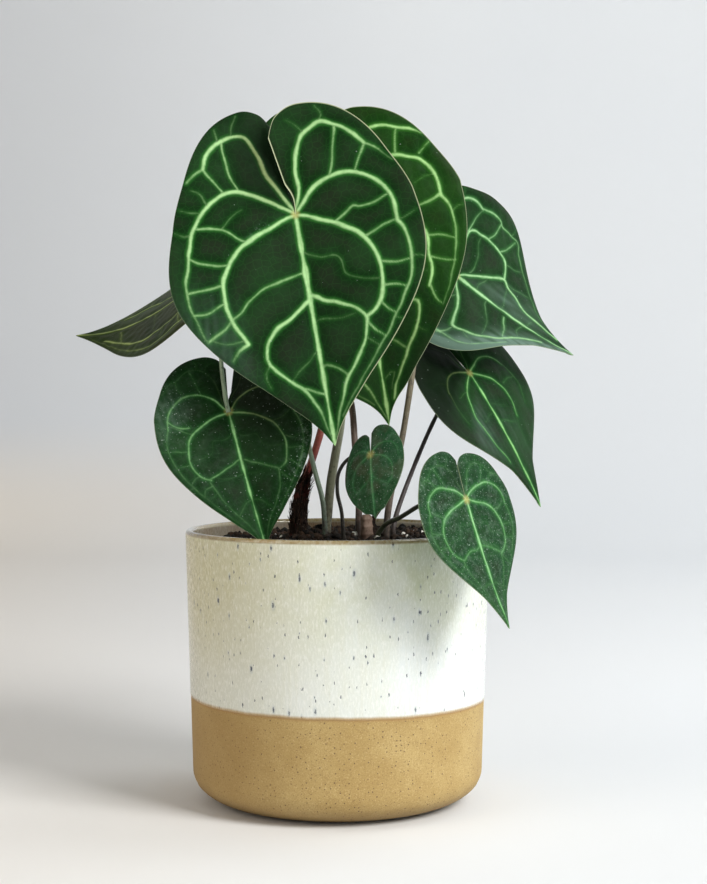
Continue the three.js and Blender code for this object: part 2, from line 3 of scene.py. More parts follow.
import bpy
import numpy as np
from mathutils import Euler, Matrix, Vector


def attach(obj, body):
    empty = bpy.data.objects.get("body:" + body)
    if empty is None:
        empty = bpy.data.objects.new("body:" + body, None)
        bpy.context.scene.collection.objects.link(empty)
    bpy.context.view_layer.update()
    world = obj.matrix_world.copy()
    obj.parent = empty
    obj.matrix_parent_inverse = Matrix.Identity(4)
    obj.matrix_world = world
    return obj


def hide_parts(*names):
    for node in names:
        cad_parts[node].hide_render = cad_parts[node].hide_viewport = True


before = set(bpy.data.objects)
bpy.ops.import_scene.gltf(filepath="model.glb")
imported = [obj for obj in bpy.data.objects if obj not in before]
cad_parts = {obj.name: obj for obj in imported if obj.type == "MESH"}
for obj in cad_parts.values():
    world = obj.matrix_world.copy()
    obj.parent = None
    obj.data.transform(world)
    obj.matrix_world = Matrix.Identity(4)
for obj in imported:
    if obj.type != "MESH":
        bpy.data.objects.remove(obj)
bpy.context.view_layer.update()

# A potted Anthurium clarinervium, dressed over its solids. Shapes are worked out in
# millimetres and stored in metres. +Z is up and the plant is seen from -Y.
MM = 0.001

# Pot, as in the solids
POT_HEIGHT = 133.8
POT_RADIUS = 75
POT_LOW_RADIUS = 71.7
POT_FOOT_RADIUS = 47.5
POT_ROUNDING = 16
POT_WALL = 3.6
POT_FLOOR = 8
POT_FLOOR_RADIUS = 50
POT_INNER_ROUNDING = 12

# The glaze's lower edge: its height on the axis, its rise along X, and the step there
GLAZE_LINE = 51.6
GLAZE_TILT = -0.014
GLAZE_STEP = 0.25

# Soil, as in the solids
SOIL_GAP = 0.3
SOIL_LEVEL = 127.6
SOIL_TILT = (0.03, 0.015)
SOIL_MOUNDS = [((-9.5, 5), 5.4, 16), ((18, 4), 1.2, 14)]
SOIL_UNDERSIDE = 118

# Perlite grains that lie in sight: place and size
PERLITE_IN_SIGHT = [
    (19.5, -6, 1.2), (32.8, 13, 1.1), (39.3, 25, 1.3), (42.6, 25.5, 0.9), (44.5, 23, 0.7),
    (24.5, 22, 0.8),
]

# Leaf outline: distance from the joint over leaf length, by angle from the tip in degrees
OUTLINE_ANGLE = np.array([0, 2.5, 8, 20, 38, 60, 90, 115, 145, 163, 173, 180.0])
OUTLINE_REACH = np.array(
    [1, 0.93, 0.845, 0.745, 0.675, 0.63, 0.53, 0.49, 0.503, 0.487, 0.445, 0.36]
)
LOBE_START = 120
SINUS_ANGLE = 176
BLADE_THICKNESS = 0.75
BLADE_EDGE_THICKNESS = 0.32

# Distance from a vein up to which it is measured
VEIN_REACH = 9.0

# Step of a blade's grid in millimetres, for leaves longer than the first number
GRID_STEPS = [(90, 0.85), (40, 0.7), (0, 0.5)]

# Leaves, as in the solids. Pairs give the left half, then the right half.
# veins: angles at which the lower, upper and lobe veins leave the joint, in each half.
LEAVES = {
    "front": dict(
        at=(-19.4, -40, 284.6), yaw=-1, nod=13.5, roll=10, length=111,
        width=(0.99, 0.97), lobe=(1.11, 0.99), bend=(-0.12, 0.29, 0.32),
        fold=(6.5, 11.5), cup=(0.15, 0.04), twist=-1,
        lobe_end=(175, 190), lift=(-0.06, 0.03), taper=(0.13, -0.13), drip=0,
        veins=((69, 124, 156), (67, 136, 163)),
    ),
    "rear": dict(
        at=(4.2, 1, 293.5), yaw=21, nod=7.5, roll=12, length=111.7,
        width=(1, 1), lobe=(1, 0.91), bend=(0.1, 0.27, 0.22),
        fold=(8.5, 14.5), cup=(0.1, 0.08), twist=-1.5,
        lobe_end=(178, 179), lift=(0, -0.02), taper=(-0.02, -0.44), drip=-0.05,
        veins=((67, 132, 161), (71, 143, 166)),
    ),
    "upper_right": dict(
        at=(60.7, 41, 261.3), yaw=33, nod=21.5, roll=51, length=75.5,
        width=(1.02, 1.35), lobe=(0.85, 1.13), bend=(0, 0.03, -0.71),
        fold=(0.5, 9.5), cup=(0.25, 0.12), twist=-38.5,
        lobe_end=(178, 178), lift=(-0.13, 0), taper=(-0.07, 0), drip=0.09,
        wave=(0.03, -0.03), veins=((66, 128, 160), (33, 112, 158)),
    ),
    "upper_left": dict(
        at=(-61.5, 29, 264), yaw=-65.5, nod=44.5, roll=-49, length=96.8,
        width=(1, 1), lobe=(0.85, 0.85), bend=(0, 0.33, -1.68),
        fold=(-2.5, 2.5), cup=(0.24, 0.19), twist=0.5,
        lobe_end=(178, 178), lift=(-0.06, -0.06), taper=(0, 0), drip=0.01,
        veins=((66, 134, 162), (69, 138, 164)),
    ),
    "lower_left": dict(
        at=(-51.7, -29, 191.8), yaw=-10, nod=24.5, roll=18.5, length=69.8,
        width=(0.99, 0.97), lobe=(1, 1), bend=(0.04, 0.38, 0.52),
        fold=(18, 8.5), cup=(-0.23, 0.09), twist=-4,
        lobe_end=(187, 162), lift=(-0.05, -0.05), taper=(-0.19, -0.02), drip=-0.02,
        veins=((74, 142, 163), (65, 126, 160)),
    ),
    "middle_right": dict(
        at=(67.6, 41, 211), yaw=28.5, nod=28, roll=21.5, length=78.5,
        width=(1, 0.99), lobe=(1, 0.99), bend=(0.02, 0.28, 0.29),
        fold=(14, -10), cup=(0.12, 0.28), twist=-10.5,
        lobe_end=(179.9, 179.9), lift=(-0.07, -0.07), taper=(-0.13, 0), drip=0.1,
        veins=((56, 110, 158), (67, 116, 160)),
    ),
    "lower_right": dict(
        at=(58.8, -74, 152.4), yaw=42, nod=17, roll=6.5, length=61.4,
        width=(1.01, 0.99), lobe=(0.83, 0.74), bend=(-0.03, 0.02, -0.35),
        fold=(5.5, -5), cup=(0.11, 0.03), twist=-11,
        lobe_end=(179, 177), lift=(0.02, 0), taper=(0, -0.04), drip=0.05,
        veins=((78, 136, 163), (75, 133, 162)),
    ),
    "small": dict(
        at=(16, -44, 171.8), yaw=-31, nod=28.5, roll=16.5, length=32.6,
        width=(0.99, 1.03), lobe=(0.86, 0.98), bend=(0.05, 0.28, 0.25),
        fold=(-15, 8), cup=(0.38, 0.05), twist=3,
        lobe_end=(175, 177), lift=(-0.01, 0), taper=(0.02, -0.12), drip=-0.12,
        veins=((70, 134, 162), (68, 136, 162)),
    ),
}

# Veins of one half of a blade as the species draws them. A point is an angle from the
# tip in degrees and a reach in hundredths of the way to the edge. The first three leave
# the joint at VEIN_START and are stretched to the angles of each leaf.
VEIN_START = (67, 136, 163)
SPECIES_VEINS = dict(
    strong=[
        [(67, 0), (67, 15), (66, 34), (61, 52), (54, 64), (46, 73), (36, 80), (27, 77)],
        [(136, 0), (136, 22), (127, 42), (114, 64), (100, 76), (86, 81), (75, 79)],
        [(163, 0), (163, 30), (162, 60), (158, 73), (151, 82), (142, 85), (132, 87), (124, 87)],
    ],
    side=[[(0, 36), (10, 48), (18, 57), (27, 77), (23, 83), (17, 87), (10, 88)]],
    ring=[
        [(75, 79), (68, 86), (61, 89), (54, 92), (45, 93), (36, 94), (27, 95), (14, 97), (4, 98)],
        [(10, 88), (4, 94), (0, 99)],
    ],
    cross=[
        [(142, 83), (126, 44)], [(124, 87), (114, 65)], [(62, 54), (76, 79)],
        [(0, 66), (5, 76), (10, 88)], [(52, 70), (59, 89)], [(43, 77), (49, 93)],
        [(36, 80), (38, 94)], [(26, 80), (29, 95)], [(124, 87), (116, 94)],
    ],
    thin=[
        [(0, 17), (20, 29), (36, 39), (32, 50), (37, 60), (45, 74)], [(116, 94), (107, 98)],
        [(60, 89), (62, 99)], [(158, 73), (168, 88)],
        [(36, 94), (38, 99)], [(22, 83), (25, 95)], [(75, 79), (80, 96)], [(151, 82), (154, 97)],
        [(2, 50), (14, 62), (23, 70)],
    ],
)

# Small leaves have the same veins, but only those from the joint are plain to see
SMALL_VEINS = dict(
    strong=[
        [(67, 0), (67, 15), (66, 34), (61, 52), (54, 64), (46, 73), (36, 80), (27, 77)],
        [(136, 0), (136, 22), (127, 42), (114, 64), (100, 76), (86, 81), (72, 82)],
    ],
    side=[[(0, 36), (10, 48), (18, 57), (27, 77)]],
    ring=[
        [(163, 0), (163, 30), (162, 60), (156, 75), (142, 84), (124, 87), (107, 97)],
        [(72, 82), (61, 89), (45, 93), (27, 95), (4, 98)], [(27, 77), (17, 87), (4, 94), (0, 99)],
    ],
    cross=SPECIES_VEINS["cross"],
    thin=SPECIES_VEINS["thin"],
)

# Halves whose veins run otherwise: these replace the species' veins, or are added to them
FRONT_LEFT = dict(
    strong=[
        [(69, 0), (69, 21), (67, 41), (62, 53), (55, 64), (46, 73), (38, 78), (28, 83)],
        [(124, 0), (122, 26), (118, 51), (111, 66), (99, 77), (87, 84), (74, 84)],
        [(155, 0), (154, 37), (159, 73), (152, 82), (142, 87), (130, 89), (123, 87)],
    ],
    side=[[(0, 38), (10, 53), (19, 70), (20, 80), (18, 86), (10, 87)]],
    ring=[
        [(74, 84), (67, 88), (58, 91), (52, 93), (41, 98)],
        [(28, 83), (30, 96)], [(10, 87), (4, 88), (0, 98)],
    ],
    cross=[
        [(123, 87), (113, 97)], [(123, 87), (114, 66)], [(74, 83), (60, 57)],
        [(0, 26), (16, 37), (32, 52), (38, 77)], [(144, 86), (118, 52)], [(61, 90), (53, 67)],
        [(52, 93), (46, 74)], [(41, 97), (38, 78)], [(0, 78), (3, 83), (7, 87)],
        [(90, 84), (86, 60), (69, 41)],
    ],
    thin=[
        [(0, 59), (4, 70), (10, 86)], [(103, 74), (110, 92)], [(151, 83), (160, 97)],
        [(142, 87), (146, 97)], [(86, 60), (98, 50), (102, 46)], [(98, 78), (100, 98)],
        [(30, 83), (40, 95)], [(18, 86), (16, 97)], [(87, 84), (89, 98)],
    ],
)
UPPER_RIGHT_RIGHT = dict(
    side=[],
    strong=[
        [(30, 0), (30, 32), (30, 60), (24, 64), (18, 71), (11, 77), (8, 86), (4, 97)],
        [(112, 0), (112, 30), (105, 52), (87, 54), (70, 56), (56, 61), (44, 66), (30, 62)],
        [(158, 0), (156, 40), (146, 66), (134, 82), (120, 86), (110, 87), (100, 81)],
    ],
    ring=[
        [(100, 81), (90, 84), (78, 83), (72, 80), (62, 86), (56, 92), (50, 91), (38, 92),
         (24, 94), (10, 96)],
        [(108, 54), (104, 68), (100, 81)],
    ],
    cross=[[(56, 61), (58, 90)], [(132, 82), (118, 58)], [(74, 55), (76, 81)]],
    thin=[
        [(43, 66), (38, 92)], [(24, 64), (22, 94)], [(0, 40), (10, 52), (24, 64)],
        [(0, 18), (14, 26), (30, 40)], [(40, 16), (66, 30), (84, 44), (86, 54)],
        [(0, 62), (6, 76)], [(120, 86), (122, 98)], [(62, 86), (64, 98)],
    ],
)
UPPER_RIGHT_LEFT = dict(
    side=[],
    strong=[
        [(64, 0), (64, 30), (70, 55), (70, 67), (62, 73), (52, 81), (36, 87), (20, 89), (6, 90)],
        [(128, 0), (126, 30), (116, 56), (102, 72), (90, 79), (78, 82)],
        [(160, 0), (160, 40), (156, 66), (146, 80), (130, 87), (118, 92)],
    ],
    ring=[[(82, 82), (70, 67)]],
    cross=[[(78, 82), (66, 90), (50, 93), (34, 95)], [(130, 87), (112, 60)],
           [(6, 54), (16, 68), (32, 85)]],
    thin=[
        [(0, 28), (14, 39), (30, 58), (50, 80)], [(0, 60), (8, 72), (18, 88)],
        [(62, 73), (60, 90)], [(66, 24), (92, 40), (104, 70)],
    ],
)
UPPER_LEFT_LEFT = dict(
    strong=[
        [(66, 0), (50, 20), (30, 40), (20, 56), (17, 68), (17, 80), (10, 92)],
        *SPECIES_VEINS["strong"][1:],
    ],
    side=[], ring=SPECIES_VEINS["ring"][:1],
    cross=SPECIES_VEINS["cross"][:3] + SPECIES_VEINS["cross"][8:],
    thin=[[(20, 56), (40, 70)], [(17, 80), (24, 94)]],
)
UPPER_LEFT_RIGHT = dict(
    strong=[
        [(69, 0), (67, 30), (60, 54), (52, 66), (46, 74), (36, 83), (18, 89), (8, 94)],
        *SPECIES_VEINS["strong"][1:],
    ],
    side=[], ring=SPECIES_VEINS["ring"][:1],
    cross=[[(4, 78), (16, 88)]] + SPECIES_VEINS["cross"][:3] + SPECIES_VEINS["cross"][8:],
    thin=[[(52, 66), (62, 84)], [(36, 83), (38, 96)], [(0, 50), (20, 60), (46, 74)]],
)
MIDDLE_RIGHT_LEFT = dict(
    strong=[
        [(56, 0), (55, 15), (51, 30), (43, 46), (35, 60), (27, 72), (19, 82), (12, 90)],
        [(108, 0), (106, 22), (98, 38), (86, 50), (74, 56)],
    ],
    side=[], ring=[[(74, 56), (58, 64), (46, 74)], [(158, 0), (156, 40), (140, 70)]],
    cross=[[(51, 30), (62, 48)]], thin=[[(0, 30), (24, 58)], [(86, 50), (88, 80)]],
)
MIDDLE_RIGHT_RIGHT = dict(
    strong=[
        [(67, 0), (66, 14), (62, 32), (54, 46), (45, 56), (36, 66), (29, 72)],
        [(118, 0), (118, 24), (110, 44), (98, 60), (86, 68)],
    ],
    side=[], ring=[[(86, 68), (70, 76), (52, 82)], [(160, 0), (158, 40), (142, 72), (122, 84)]],
    cross=[[(4, 43), (23, 70)], [(62, 50), (74, 74)]],
    thin=[[(0, 24), (30, 50)], [(29, 72), (16, 86)]],
)
REAR_RIGHT = dict(
    strong=[
        [(71, 0), (71, 20), (70, 40), (63, 60), (57, 66), (52, 69), (46, 75), (40, 80)],
        [(143, 0), (142, 25), (134, 50), (124, 66), (118, 73), (110, 82), (98, 82), (85, 80)],
        [(166, 0), (164, 40), (156, 72), (146, 84), (136, 88), (130, 94)],
    ],
    side=[[(0, 38), (12, 54), (24, 66), (30, 76), (24, 84), (16, 87), (8, 92), (4, 97)]],
    ring=[
        [(85, 80), (79, 85), (73, 88), (66, 89), (60, 91), (54, 93), (46, 95), (40, 96)],
        [(130, 94), (122, 99)], [(85, 80), (78, 60), (71, 38)],
    ],
    cross=[
        [(136, 88), (126, 67)], [(114, 83), (116, 98)],
        [(60, 65), (63, 77), (65, 88)], [(51, 72), (56, 92)], [(40, 80), (40, 94)],
        [(4, 66), (10, 74), (16, 86)],
    ],
    thin=[
        [(97, 82), (99, 74), (96, 62)], [(25, 84), (28, 93)], [(2, 83), (6, 92)],
        [(0, 17), (20, 29), (36, 39), (34, 54), (44, 72)], [(75, 87), (79, 97)],
    ],
)
OWN_VEINS = {
    ("rear", 1): REAR_RIGHT,
    ("middle_right", 0): MIDDLE_RIGHT_LEFT,
    ("middle_right", 1): MIDDLE_RIGHT_RIGHT,
    ("front", 0): FRONT_LEFT,
    ("upper_right", 0): UPPER_RIGHT_LEFT,
    ("upper_right", 1): UPPER_RIGHT_RIGHT,
    ("upper_left", 0): UPPER_LEFT_LEFT,
    ("upper_left", 1): UPPER_LEFT_RIGHT,
}
MORE_VEINS = {
    ("lower_left", 0): dict(side=[[(80, 82), (69, 56)]]),
    ("lower_right", 1): dict(cross=[[(0, 32), (17, 51), (26, 70), (24, 77)]]),
    ("front", 1): dict(cross=[[(69, 31), (86, 47), (84, 53), (90, 80)]]),
}

# Half width in millimetres and strength, each at the start and at the end of a vein. The
# widths hold for a leaf of VEIN_LENGTH and go with the length to the power VEIN_POWER.
VEIN_LENGTH = 111
VEIN_POWER = 0.6
FINER_VEINS = {"rear": 0.92, "upper_left": 0.78, "upper_right": 0.9}
LARGE_LEAVES = ("front", "rear", "upper_right", "upper_left")
LARGE_LEAF = dict(midrib=(1.5, 0.85, 1, 1), strong=(1.15, 0.95, 1, 0.95),
                  side=(1.05, 0.7, 1, 0.92), ring=(0.85, 0.35, 0.88, 0.3),
                  cross=(0.6, 0.48, 0.75, 0.68), thin=(0.36, 0.24, 0.42, 0.25))
SMALL_LEAF = dict(midrib=(1.05, 0.6, 1, 0.95), strong=(0.72, 0.45, 1, 0.6),
                  side=(0.45, 0.4, 0.6, 0.55), ring=(0.4, 0.25, 0.32, 0.12),
                  cross=(0.3, 0.25, 0.3, 0.2), thin=(0.2, 0.15, 0.16, 0.1))

# Painted sheen that pales the skin, and painted shade that darkens it. An entry is the half,
# the middle and spread in degrees, the middle and spread of the reach, and the strength,
# which is above zero for painted sheen and below zero for painted shade.
PAINTED_SHEEN_AND_SHADE = {
    "front": [(0, 34, 22, 0.95, 0.25, 0.2), (0, 164, 20, 0.5, 0.5, -1),
              (0, 130, 22, 0.28, 0.35, -0.6), (1, 8, 14, 0.98, 0.14, 0.1),
              (0, 4, 26, 0.7, 0.4, -0.22), (1, 4, 26, 0.7, 0.4, -0.22)],
    "rear": [(1, 20, 25, 0.8, 0.5, -0.3), (1, 6, 30, 0.95, 0.3, -0.4), (0, 6, 30, 0.95, 0.3, -0.6)],
    "upper_right": [(0, 66, 60, 1.02, 0.19, 1.7), (1, 10, 12, 0.55, 0.35, 0.3)],
    "upper_left": [(0, 14, 14, 0.72, 0.3, 0.14), (1, 30, 40, 0.6, 0.3, -0.35)],
    "lower_left": [(1, 155, 50, 0.5, 0.7, -0.95), (0, 168, 22, 0.4, 0.6, -0.8),
                   (0, 95, 26, 0.75, 0.3, 0.2), (1, 40, 50, 0.5, 0.5, -0.5),
                   (1, 95, 45, 0.42, 0.4, -0.8), (0, 40, 40, 0.4, 0.3, -0.35)],
    "middle_right": [(0, 130, 66, 0.7, 0.8, -1.3), (1, 165, 30, 0.6, 0.6, -0.6),
                     (0, 36, 20, 0.72, 0.4, 0.45), (1, 12, 12, 0.5, 0.4, 0.08),
                     (0, 90, 34, 0.8, 0.5, -0.7)],
    "lower_right": [(0, 165, 24, 0.4, 0.4, -0.7)],
    "small": [(1, 90, 50, 0.4, 0.5, -0.3)],
}

# Share of places that hold a dust speck: all over, then denser spots given as above
DUST = {
    "front": (0.008, [(0, 76, 7, 0.27, 0.05, 0.95), (0, 68, 6, 0.36, 0.05, 0.7)]),
    "rear": (0.01, []),
    "upper_right": (0.02, []),
    "upper_left": (0.03, []),
    "lower_left": (0.16, [(1, 50, 30, 0.93, 0.08, 0.9), (0, 100, 30, 0.75, 0.3, 0.5)]),
    "middle_right": (0.02, []),
    "lower_right": (0.75, [(0, 110, 60, 0.8, 0.4, 0.25)]),
    "small": (0.7, []),
}

# Colours of a blade: its skin by the veins, between them and in light patches, the veins,
# the glow beside them, the margin and the back. Each leaf changes some, and has its sheen.
GREEN = dict(
    Skin=(0.003, 0.023, 0.0035), Middle=(0.0115, 0.021, 0.0095), Light=(0.013, 0.045, 0.013),
    Vein=(0.41, 0.69, 0.31), Glow=(0.026, 0.145, 0.022), Margin=(0.6, 0.66, 0.42),
    Back=(0.085, 0.16, 0.07),
)
BLADE_LOOKS = {
    "front": dict(sheen=0.02),
    "rear": dict(sheen=0.005, Skin=(0.0035, 0.033, 0.002), Middle=(0.008, 0.026, 0.003),
                 Light=(0.012, 0.052, 0.006), Glow=(0.028, 0.135, 0.014),
                 Vein=(0.38, 0.66, 0.25)),
    "upper_right": dict(sheen=0.02, Vein=(0.33, 0.58, 0.28), Glow=(0.026, 0.12, 0.026)),
    "upper_left": dict(sheen=0.02, Skin=(0.016, 0.034, 0.005), Middle=(0.03, 0.035, 0.011),
                       Light=(0.036, 0.054, 0.016), Vein=(0.44, 0.54, 0.19),
                       Glow=(0.055, 0.1, 0.015), Margin=(0.1, 0.075, 0.035)),
    "lower_left": dict(sheen=0.02, Vein=(0.31, 0.62, 0.25), Glow=(0.02, 0.105, 0.022)),
    "middle_right": dict(sheen=0.0, Vein=(0.27, 0.54, 0.2), Glow=(0.018, 0.12, 0.02)),
    "lower_right": dict(sheen=0.06, Skin=(0.008, 0.042, 0.013), Glow=(0.03, 0.15, 0.03),
                        Vein=(0.3, 0.58, 0.26)),
    "small": dict(sheen=0.06, Wear=0.25, Skin=(0.022, 0.085, 0.036), Vein=(0.1, 0.3, 0.12),
                  Glow=(0.026, 0.12, 0.042)),
}

# Colours that lie over a blade's own: painted shade, painted sheen, painted shade on the veins,
# then the joint, wear, a dust film and dust specks
LEAF_TINTS = dict(
    painted_shade=(0.0016, 0.005, 0.0014), painted_sheen=(0.16, 0.25, 0.2), shaded_vein=(0.11, 0.1, 0.035),
    joint=(0.42, 0.36, 0.12), worn=(0.11, 0.075, 0.06), film=(0.24, 0.34, 0.27),
    dust=(0.33, 0.41, 0.35),
)

# Colours of the glaze and of the bare clay. The glaze's olive for the left and the clay's warm
# brown and foot colours are painted shade, and the glaze's upper olive is partly painted shade
GLAZE = dict(
    cream=(0.76, 0.8, 0.79), clouded=(0.72, 0.75, 0.69), upper=(0.57, 0.59, 0.4),
    olive_left_shade=(0.52, 0.49, 0.3), streak=(0.69, 0.7, 0.59), milk=(0.9, 0.9, 0.86),
    faint_speck=(0.4, 0.38, 0.3), bleed=(0.34, 0.4, 0.46), speck=(0.015, 0.024, 0.06),
    amber=(0.4, 0.25, 0.085), lip=(0.27, 0.19, 0.075), inside=(0.3, 0.26, 0.2),
    inside_dark=(0.2, 0.135, 0.08),
)
CLAY = dict(
    pale=(0.475, 0.338, 0.13), tan=(0.4, 0.268, 0.09), pit=(0.26, 0.15, 0.055),
    grain=(0.72, 0.56, 0.3), fleck=(0.11, 0.06, 0.03), warm_left_shade=(0.33, 0.195, 0.062),
    foot=(0.19, 0.11, 0.04), under_glaze=(0.33, 0.18, 0.065),
)

# How far the pale margin shows, in the left and the right half. The margin is partly the leaf's
# own and partly a painted highlight where it shows wider along an edge facing the light
MARGINS_AND_HIGHLIGHTS = {"front": (0.1, 1), "rear": (0.1, 0.7), "upper_right": (0.3, 0.2)}
PLAIN_MARGIN = (0.15, 0.15)

# Petioles, as in the solids: the foot in the soil, radii, points of the way up, and colours
# at the foot and at the blade. over: the petiole meets its blade from the face side.
PETIOLES = {
    "front": dict(
        foot=(-5.5, 4.5), radius=(2.3, 2, 1.5),
        way=[(-3.2, 0, 157.3), (-1.2, -3, 169.3), (1.8, -8, 187.6), (2.5, -14, 215),
             (-2, -20, 245), (-12, -26, 270)],
        colours=((0.13, 0.13, 0.085), (0.18, 0.2, 0.12)),
    ),
    "rear": dict(
        foot=(-20, 8), radius=(1.9, 1.8, 1.4),
        way=[(-17.8, 8, 153.4), (-13.8, 8, 164.4), (-8.3, 9, 182.3), (-2.5, 11, 212),
             (2, 14, 245), (5, 16, 275)],
        colours=((0.14, 0.02, 0.015), (0.3, 0.06, 0.035)),
    ),
    "upper_right": dict(
        foot=(24.1, 6), radius=(1.7, 1.5, 1.2),
        way=[(25.4, 7, 143.8), (28.9, 8.5, 162.1), (32.5, 10, 179.7), (36.7, 11.5, 206),
             (38.6, 16.2, 219), (41, 27.2, 231), (44.5, 36, 241), (51, 42, 251)],
        colours=((0.1, 0.07, 0.05), (0.17, 0.15, 0.09)),
    ),
    "upper_left": dict(
        foot=(10.5, 9), radius=(1.7, 1.6, 1.3),
        way=[(10.5, 10, 145), (9.7, 13, 157.1), (8.5, 16, 176.7), (6.5, 20, 197),
             (-2, 25, 222), (-18, 30, 240), (-38, 33, 250)],
        colours=((0.1, 0.06, 0.045), (0.19, 0.13, 0.1)),
    ),
    "lower_left": dict(
        foot=(-6.2, -4.4), radius=(1.3, 1.1, 1),
        way=[(-7.2, -3.4, 147), (-11.2, 0.6, 162.1), (-18.5, 1, 190), (-30, -1, 214),
             (-42, -6, 228), (-51, -14, 230), (-55.5, -21, 222)],
        over=True, colours=((0.06, 0.09, 0.06), (0.27, 0.36, 0.24)),
    ),
    "middle_right": dict(
        foot=(27.8, 14), radius=(1.3, 1.1, 0.9),
        way=[(29.5, 16.5, 139.5), (38.2, 26, 162.1), (50.3, 38, 188.4), (60, 49, 204)],
        colours=((0.05, 0.035, 0.03), (0.035, 0.025, 0.03)),
    ),
    "lower_right": dict(
        foot=(20, -4), radius=(1.3, 1.1, 0.9),
        way=[(23.5, -8.5, 136.3), (30.7, -20, 140.8), (39, -36, 147.2), (46, -52, 151)],
        colours=((0.06, 0.08, 0.03), (0.05, 0.05, 0.03)),
    ),
    "small": dict(
        foot=(3, -13), radius=(1, 0.9, 0.7),
        way=[(2.1, -17, 143.1), (0.1, -21, 153.1), (1, -24.5, 163), (6.5, -28.5, 170),
             (14, -32.5, 170.5)],
        colours=((0.03, 0.025, 0.02), (0.03, 0.03, 0.025)),
    ),
}

# Torn sleeve: its height, and of each layer the height, the gap round the petiole, the
# thickness, and the angle left open
SHEATH_TOP = 35
SHEATH_LAYERS = [
    (SHEATH_TOP, 0.15, 0.5, 50), (SHEATH_TOP - 6, 0.75, 0.6, 95), (SHEATH_TOP - 17, 1.4, 0.7, 130),
]

# Stem stub and young shoot, as in the solids
STUB_AT = (14.4, -1)
STUB_TOP = 141
STUB_RADIUS = 3.05
SHOOT_FOOT = (17.2, 4.5)
SHOOT_WAY = [(17.9, 4, 138.5), (21.2, 1.5, 143.5), (24, -0.5, 147)]

# Camera at the photograph's viewpoint: place in metres, degrees below level, and lens
CAMERA_AT = (0.0079, -0.885, 0.201)
CAMERA_DOWN = 1.58
CAMERA_LENS = 72.9


# Numbers

def smooth(t):
    """Rises from 0 to 1 between 0 and 1 with level ends: 3t^2 - 2t^3."""
    t = np.clip(t, 0, 1)
    return t * t * (3 - 2 * t)


def ripple(points, wave, seed):
    """Soft noise, mostly between -1 and 1: a third of the sum of six sine waves with
    seeded directions, whose lengths lie round the given wavelength."""
    rng = np.random.default_rng(seed)
    points = np.asarray(points, float)
    total = np.zeros(points.shape[:-1])
    for _ in range(6):
        way = rng.normal(size=points.shape[-1])
        way *= 2 * np.pi / wave * rng.uniform(0.6, 1.6) / np.linalg.norm(way)
        total += np.sin(points @ way + rng.uniform(0, 2 * np.pi))
    return total / 3


def unit(v):
    """Vectors divided by their lengths."""
    return v / np.maximum(np.linalg.norm(v, axis=-1, keepdims=True), 1e-12)


def centripetal_path(points, step):
    """Smooth path through points. Between two points runs the cubic whose end slopes
    come from the neighbouring points, weighted by the square roots of the distances.
    The result has equal steps of about the given length."""
    p = np.asarray(points, float)
    p = np.vstack([2 * p[0] - p[1], p, 2 * p[-1] - p[-2]])
    gap = np.sqrt(np.linalg.norm(np.diff(p, axis=0), axis=1))
    u = np.linspace(0, 1, 40, endpoint=False)[:, None]
    spans = []
    for i in range(1, len(p) - 2):
        g0, g1, g2 = gap[i - 1 : i + 2]
        out = (p[i] - p[i - 1]) / g0 - (p[i + 1] - p[i - 1]) / (g0 + g1) + (p[i + 1] - p[i]) / g1
        into = (p[i + 1] - p[i]) / g1 - (p[i + 2] - p[i]) / (g1 + g2) + (p[i + 2] - p[i + 1]) / g2
        spans.append(
            (2 * u**3 - 3 * u**2 + 1) * p[i] + (u**3 - 2 * u**2 + u) * g1 * out
            + (3 * u**2 - 2 * u**3) * p[i + 1] + (u**3 - u**2) * g1 * into
        )
    dense = np.vstack([*spans, p[-2:-1]])
    run = np.concatenate([[0], np.cumsum(np.linalg.norm(np.diff(dense, axis=0), axis=1))])
    at = np.linspace(0, run[-1], max(2, round(run[-1] / step)))
    return np.stack([np.interp(at, run, dense[:, k]) for k in range(dense.shape[1])], -1)


# Meshes

def make_piece(name, points, faces, material, stands_for=(), values=(), uv=None):
    """Mesh object from points in millimetres and arrays of face corners. values holds
    (name, number per point) pairs and uv one pair of numbers per point."""
    mesh = bpy.data.meshes.new(name)
    faces = [np.asarray(f, np.int32) for f in faces if len(f)]
    corners = np.concatenate([f.ravel() for f in faces])
    sizes = np.concatenate([np.full(len(f), f.shape[1]) for f in faces])
    starts = np.concatenate([[0], np.cumsum(sizes)[:-1]]).astype(np.int32)
    mesh.vertices.add(len(points))
    mesh.vertices.foreach_set("co", (np.asarray(points, np.float32) * MM).ravel())
    mesh.loops.add(len(corners))
    mesh.loops.foreach_set("vertex_index", corners)
    mesh.polygons.add(len(starts))
    mesh.polygons.foreach_set("loop_start", starts)
    mesh.polygons.foreach_set("use_smooth", np.ones(len(starts), bool))
    mesh.update(calc_edges=True)
    mesh.validate()
    for key, numbers in values:
        held = mesh.attributes.new(key, "FLOAT", "POINT")
        held.data.foreach_set("value", np.asarray(numbers, np.float32).ravel())
    if uv is not None:
        layer = mesh.uv_layers.new(name="surface")
        layer.data.foreach_set("uv", np.asarray(uv, np.float32)[corners].ravel())
    mesh.materials.append(material)
    piece = bpy.data.objects.new(name, mesh)
    bpy.context.scene.collection.objects.link(piece)
    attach(piece, "root")
    if stands_for:
        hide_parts(*stands_for)


def grid_faces(rows, columns, closed, start=0, flip=False):
    """Corners of the quads of a grid of points, closed round or open at the sides."""
    row, column = np.meshgrid(
        np.arange(rows - 1), np.arange(columns if closed else columns - 1), indexing="ij"
    )
    after = (column + 1) % columns
    quads = np.stack(
        [row * columns + column, row * columns + after,
         (row + 1) * columns + after, (row + 1) * columns + column], -1
    ).reshape(-1, 4) + start
    return quads[:, ::-1] if flip else quads


def fan(pole, ring, flip=False):
    """Triangles from a pole to the points of a closed ring."""
    ring = np.asarray(ring)
    tris = np.stack([np.full(len(ring), pole), ring, np.roll(ring, -1)], -1)
    return tris[:, ::-1] if flip else tris


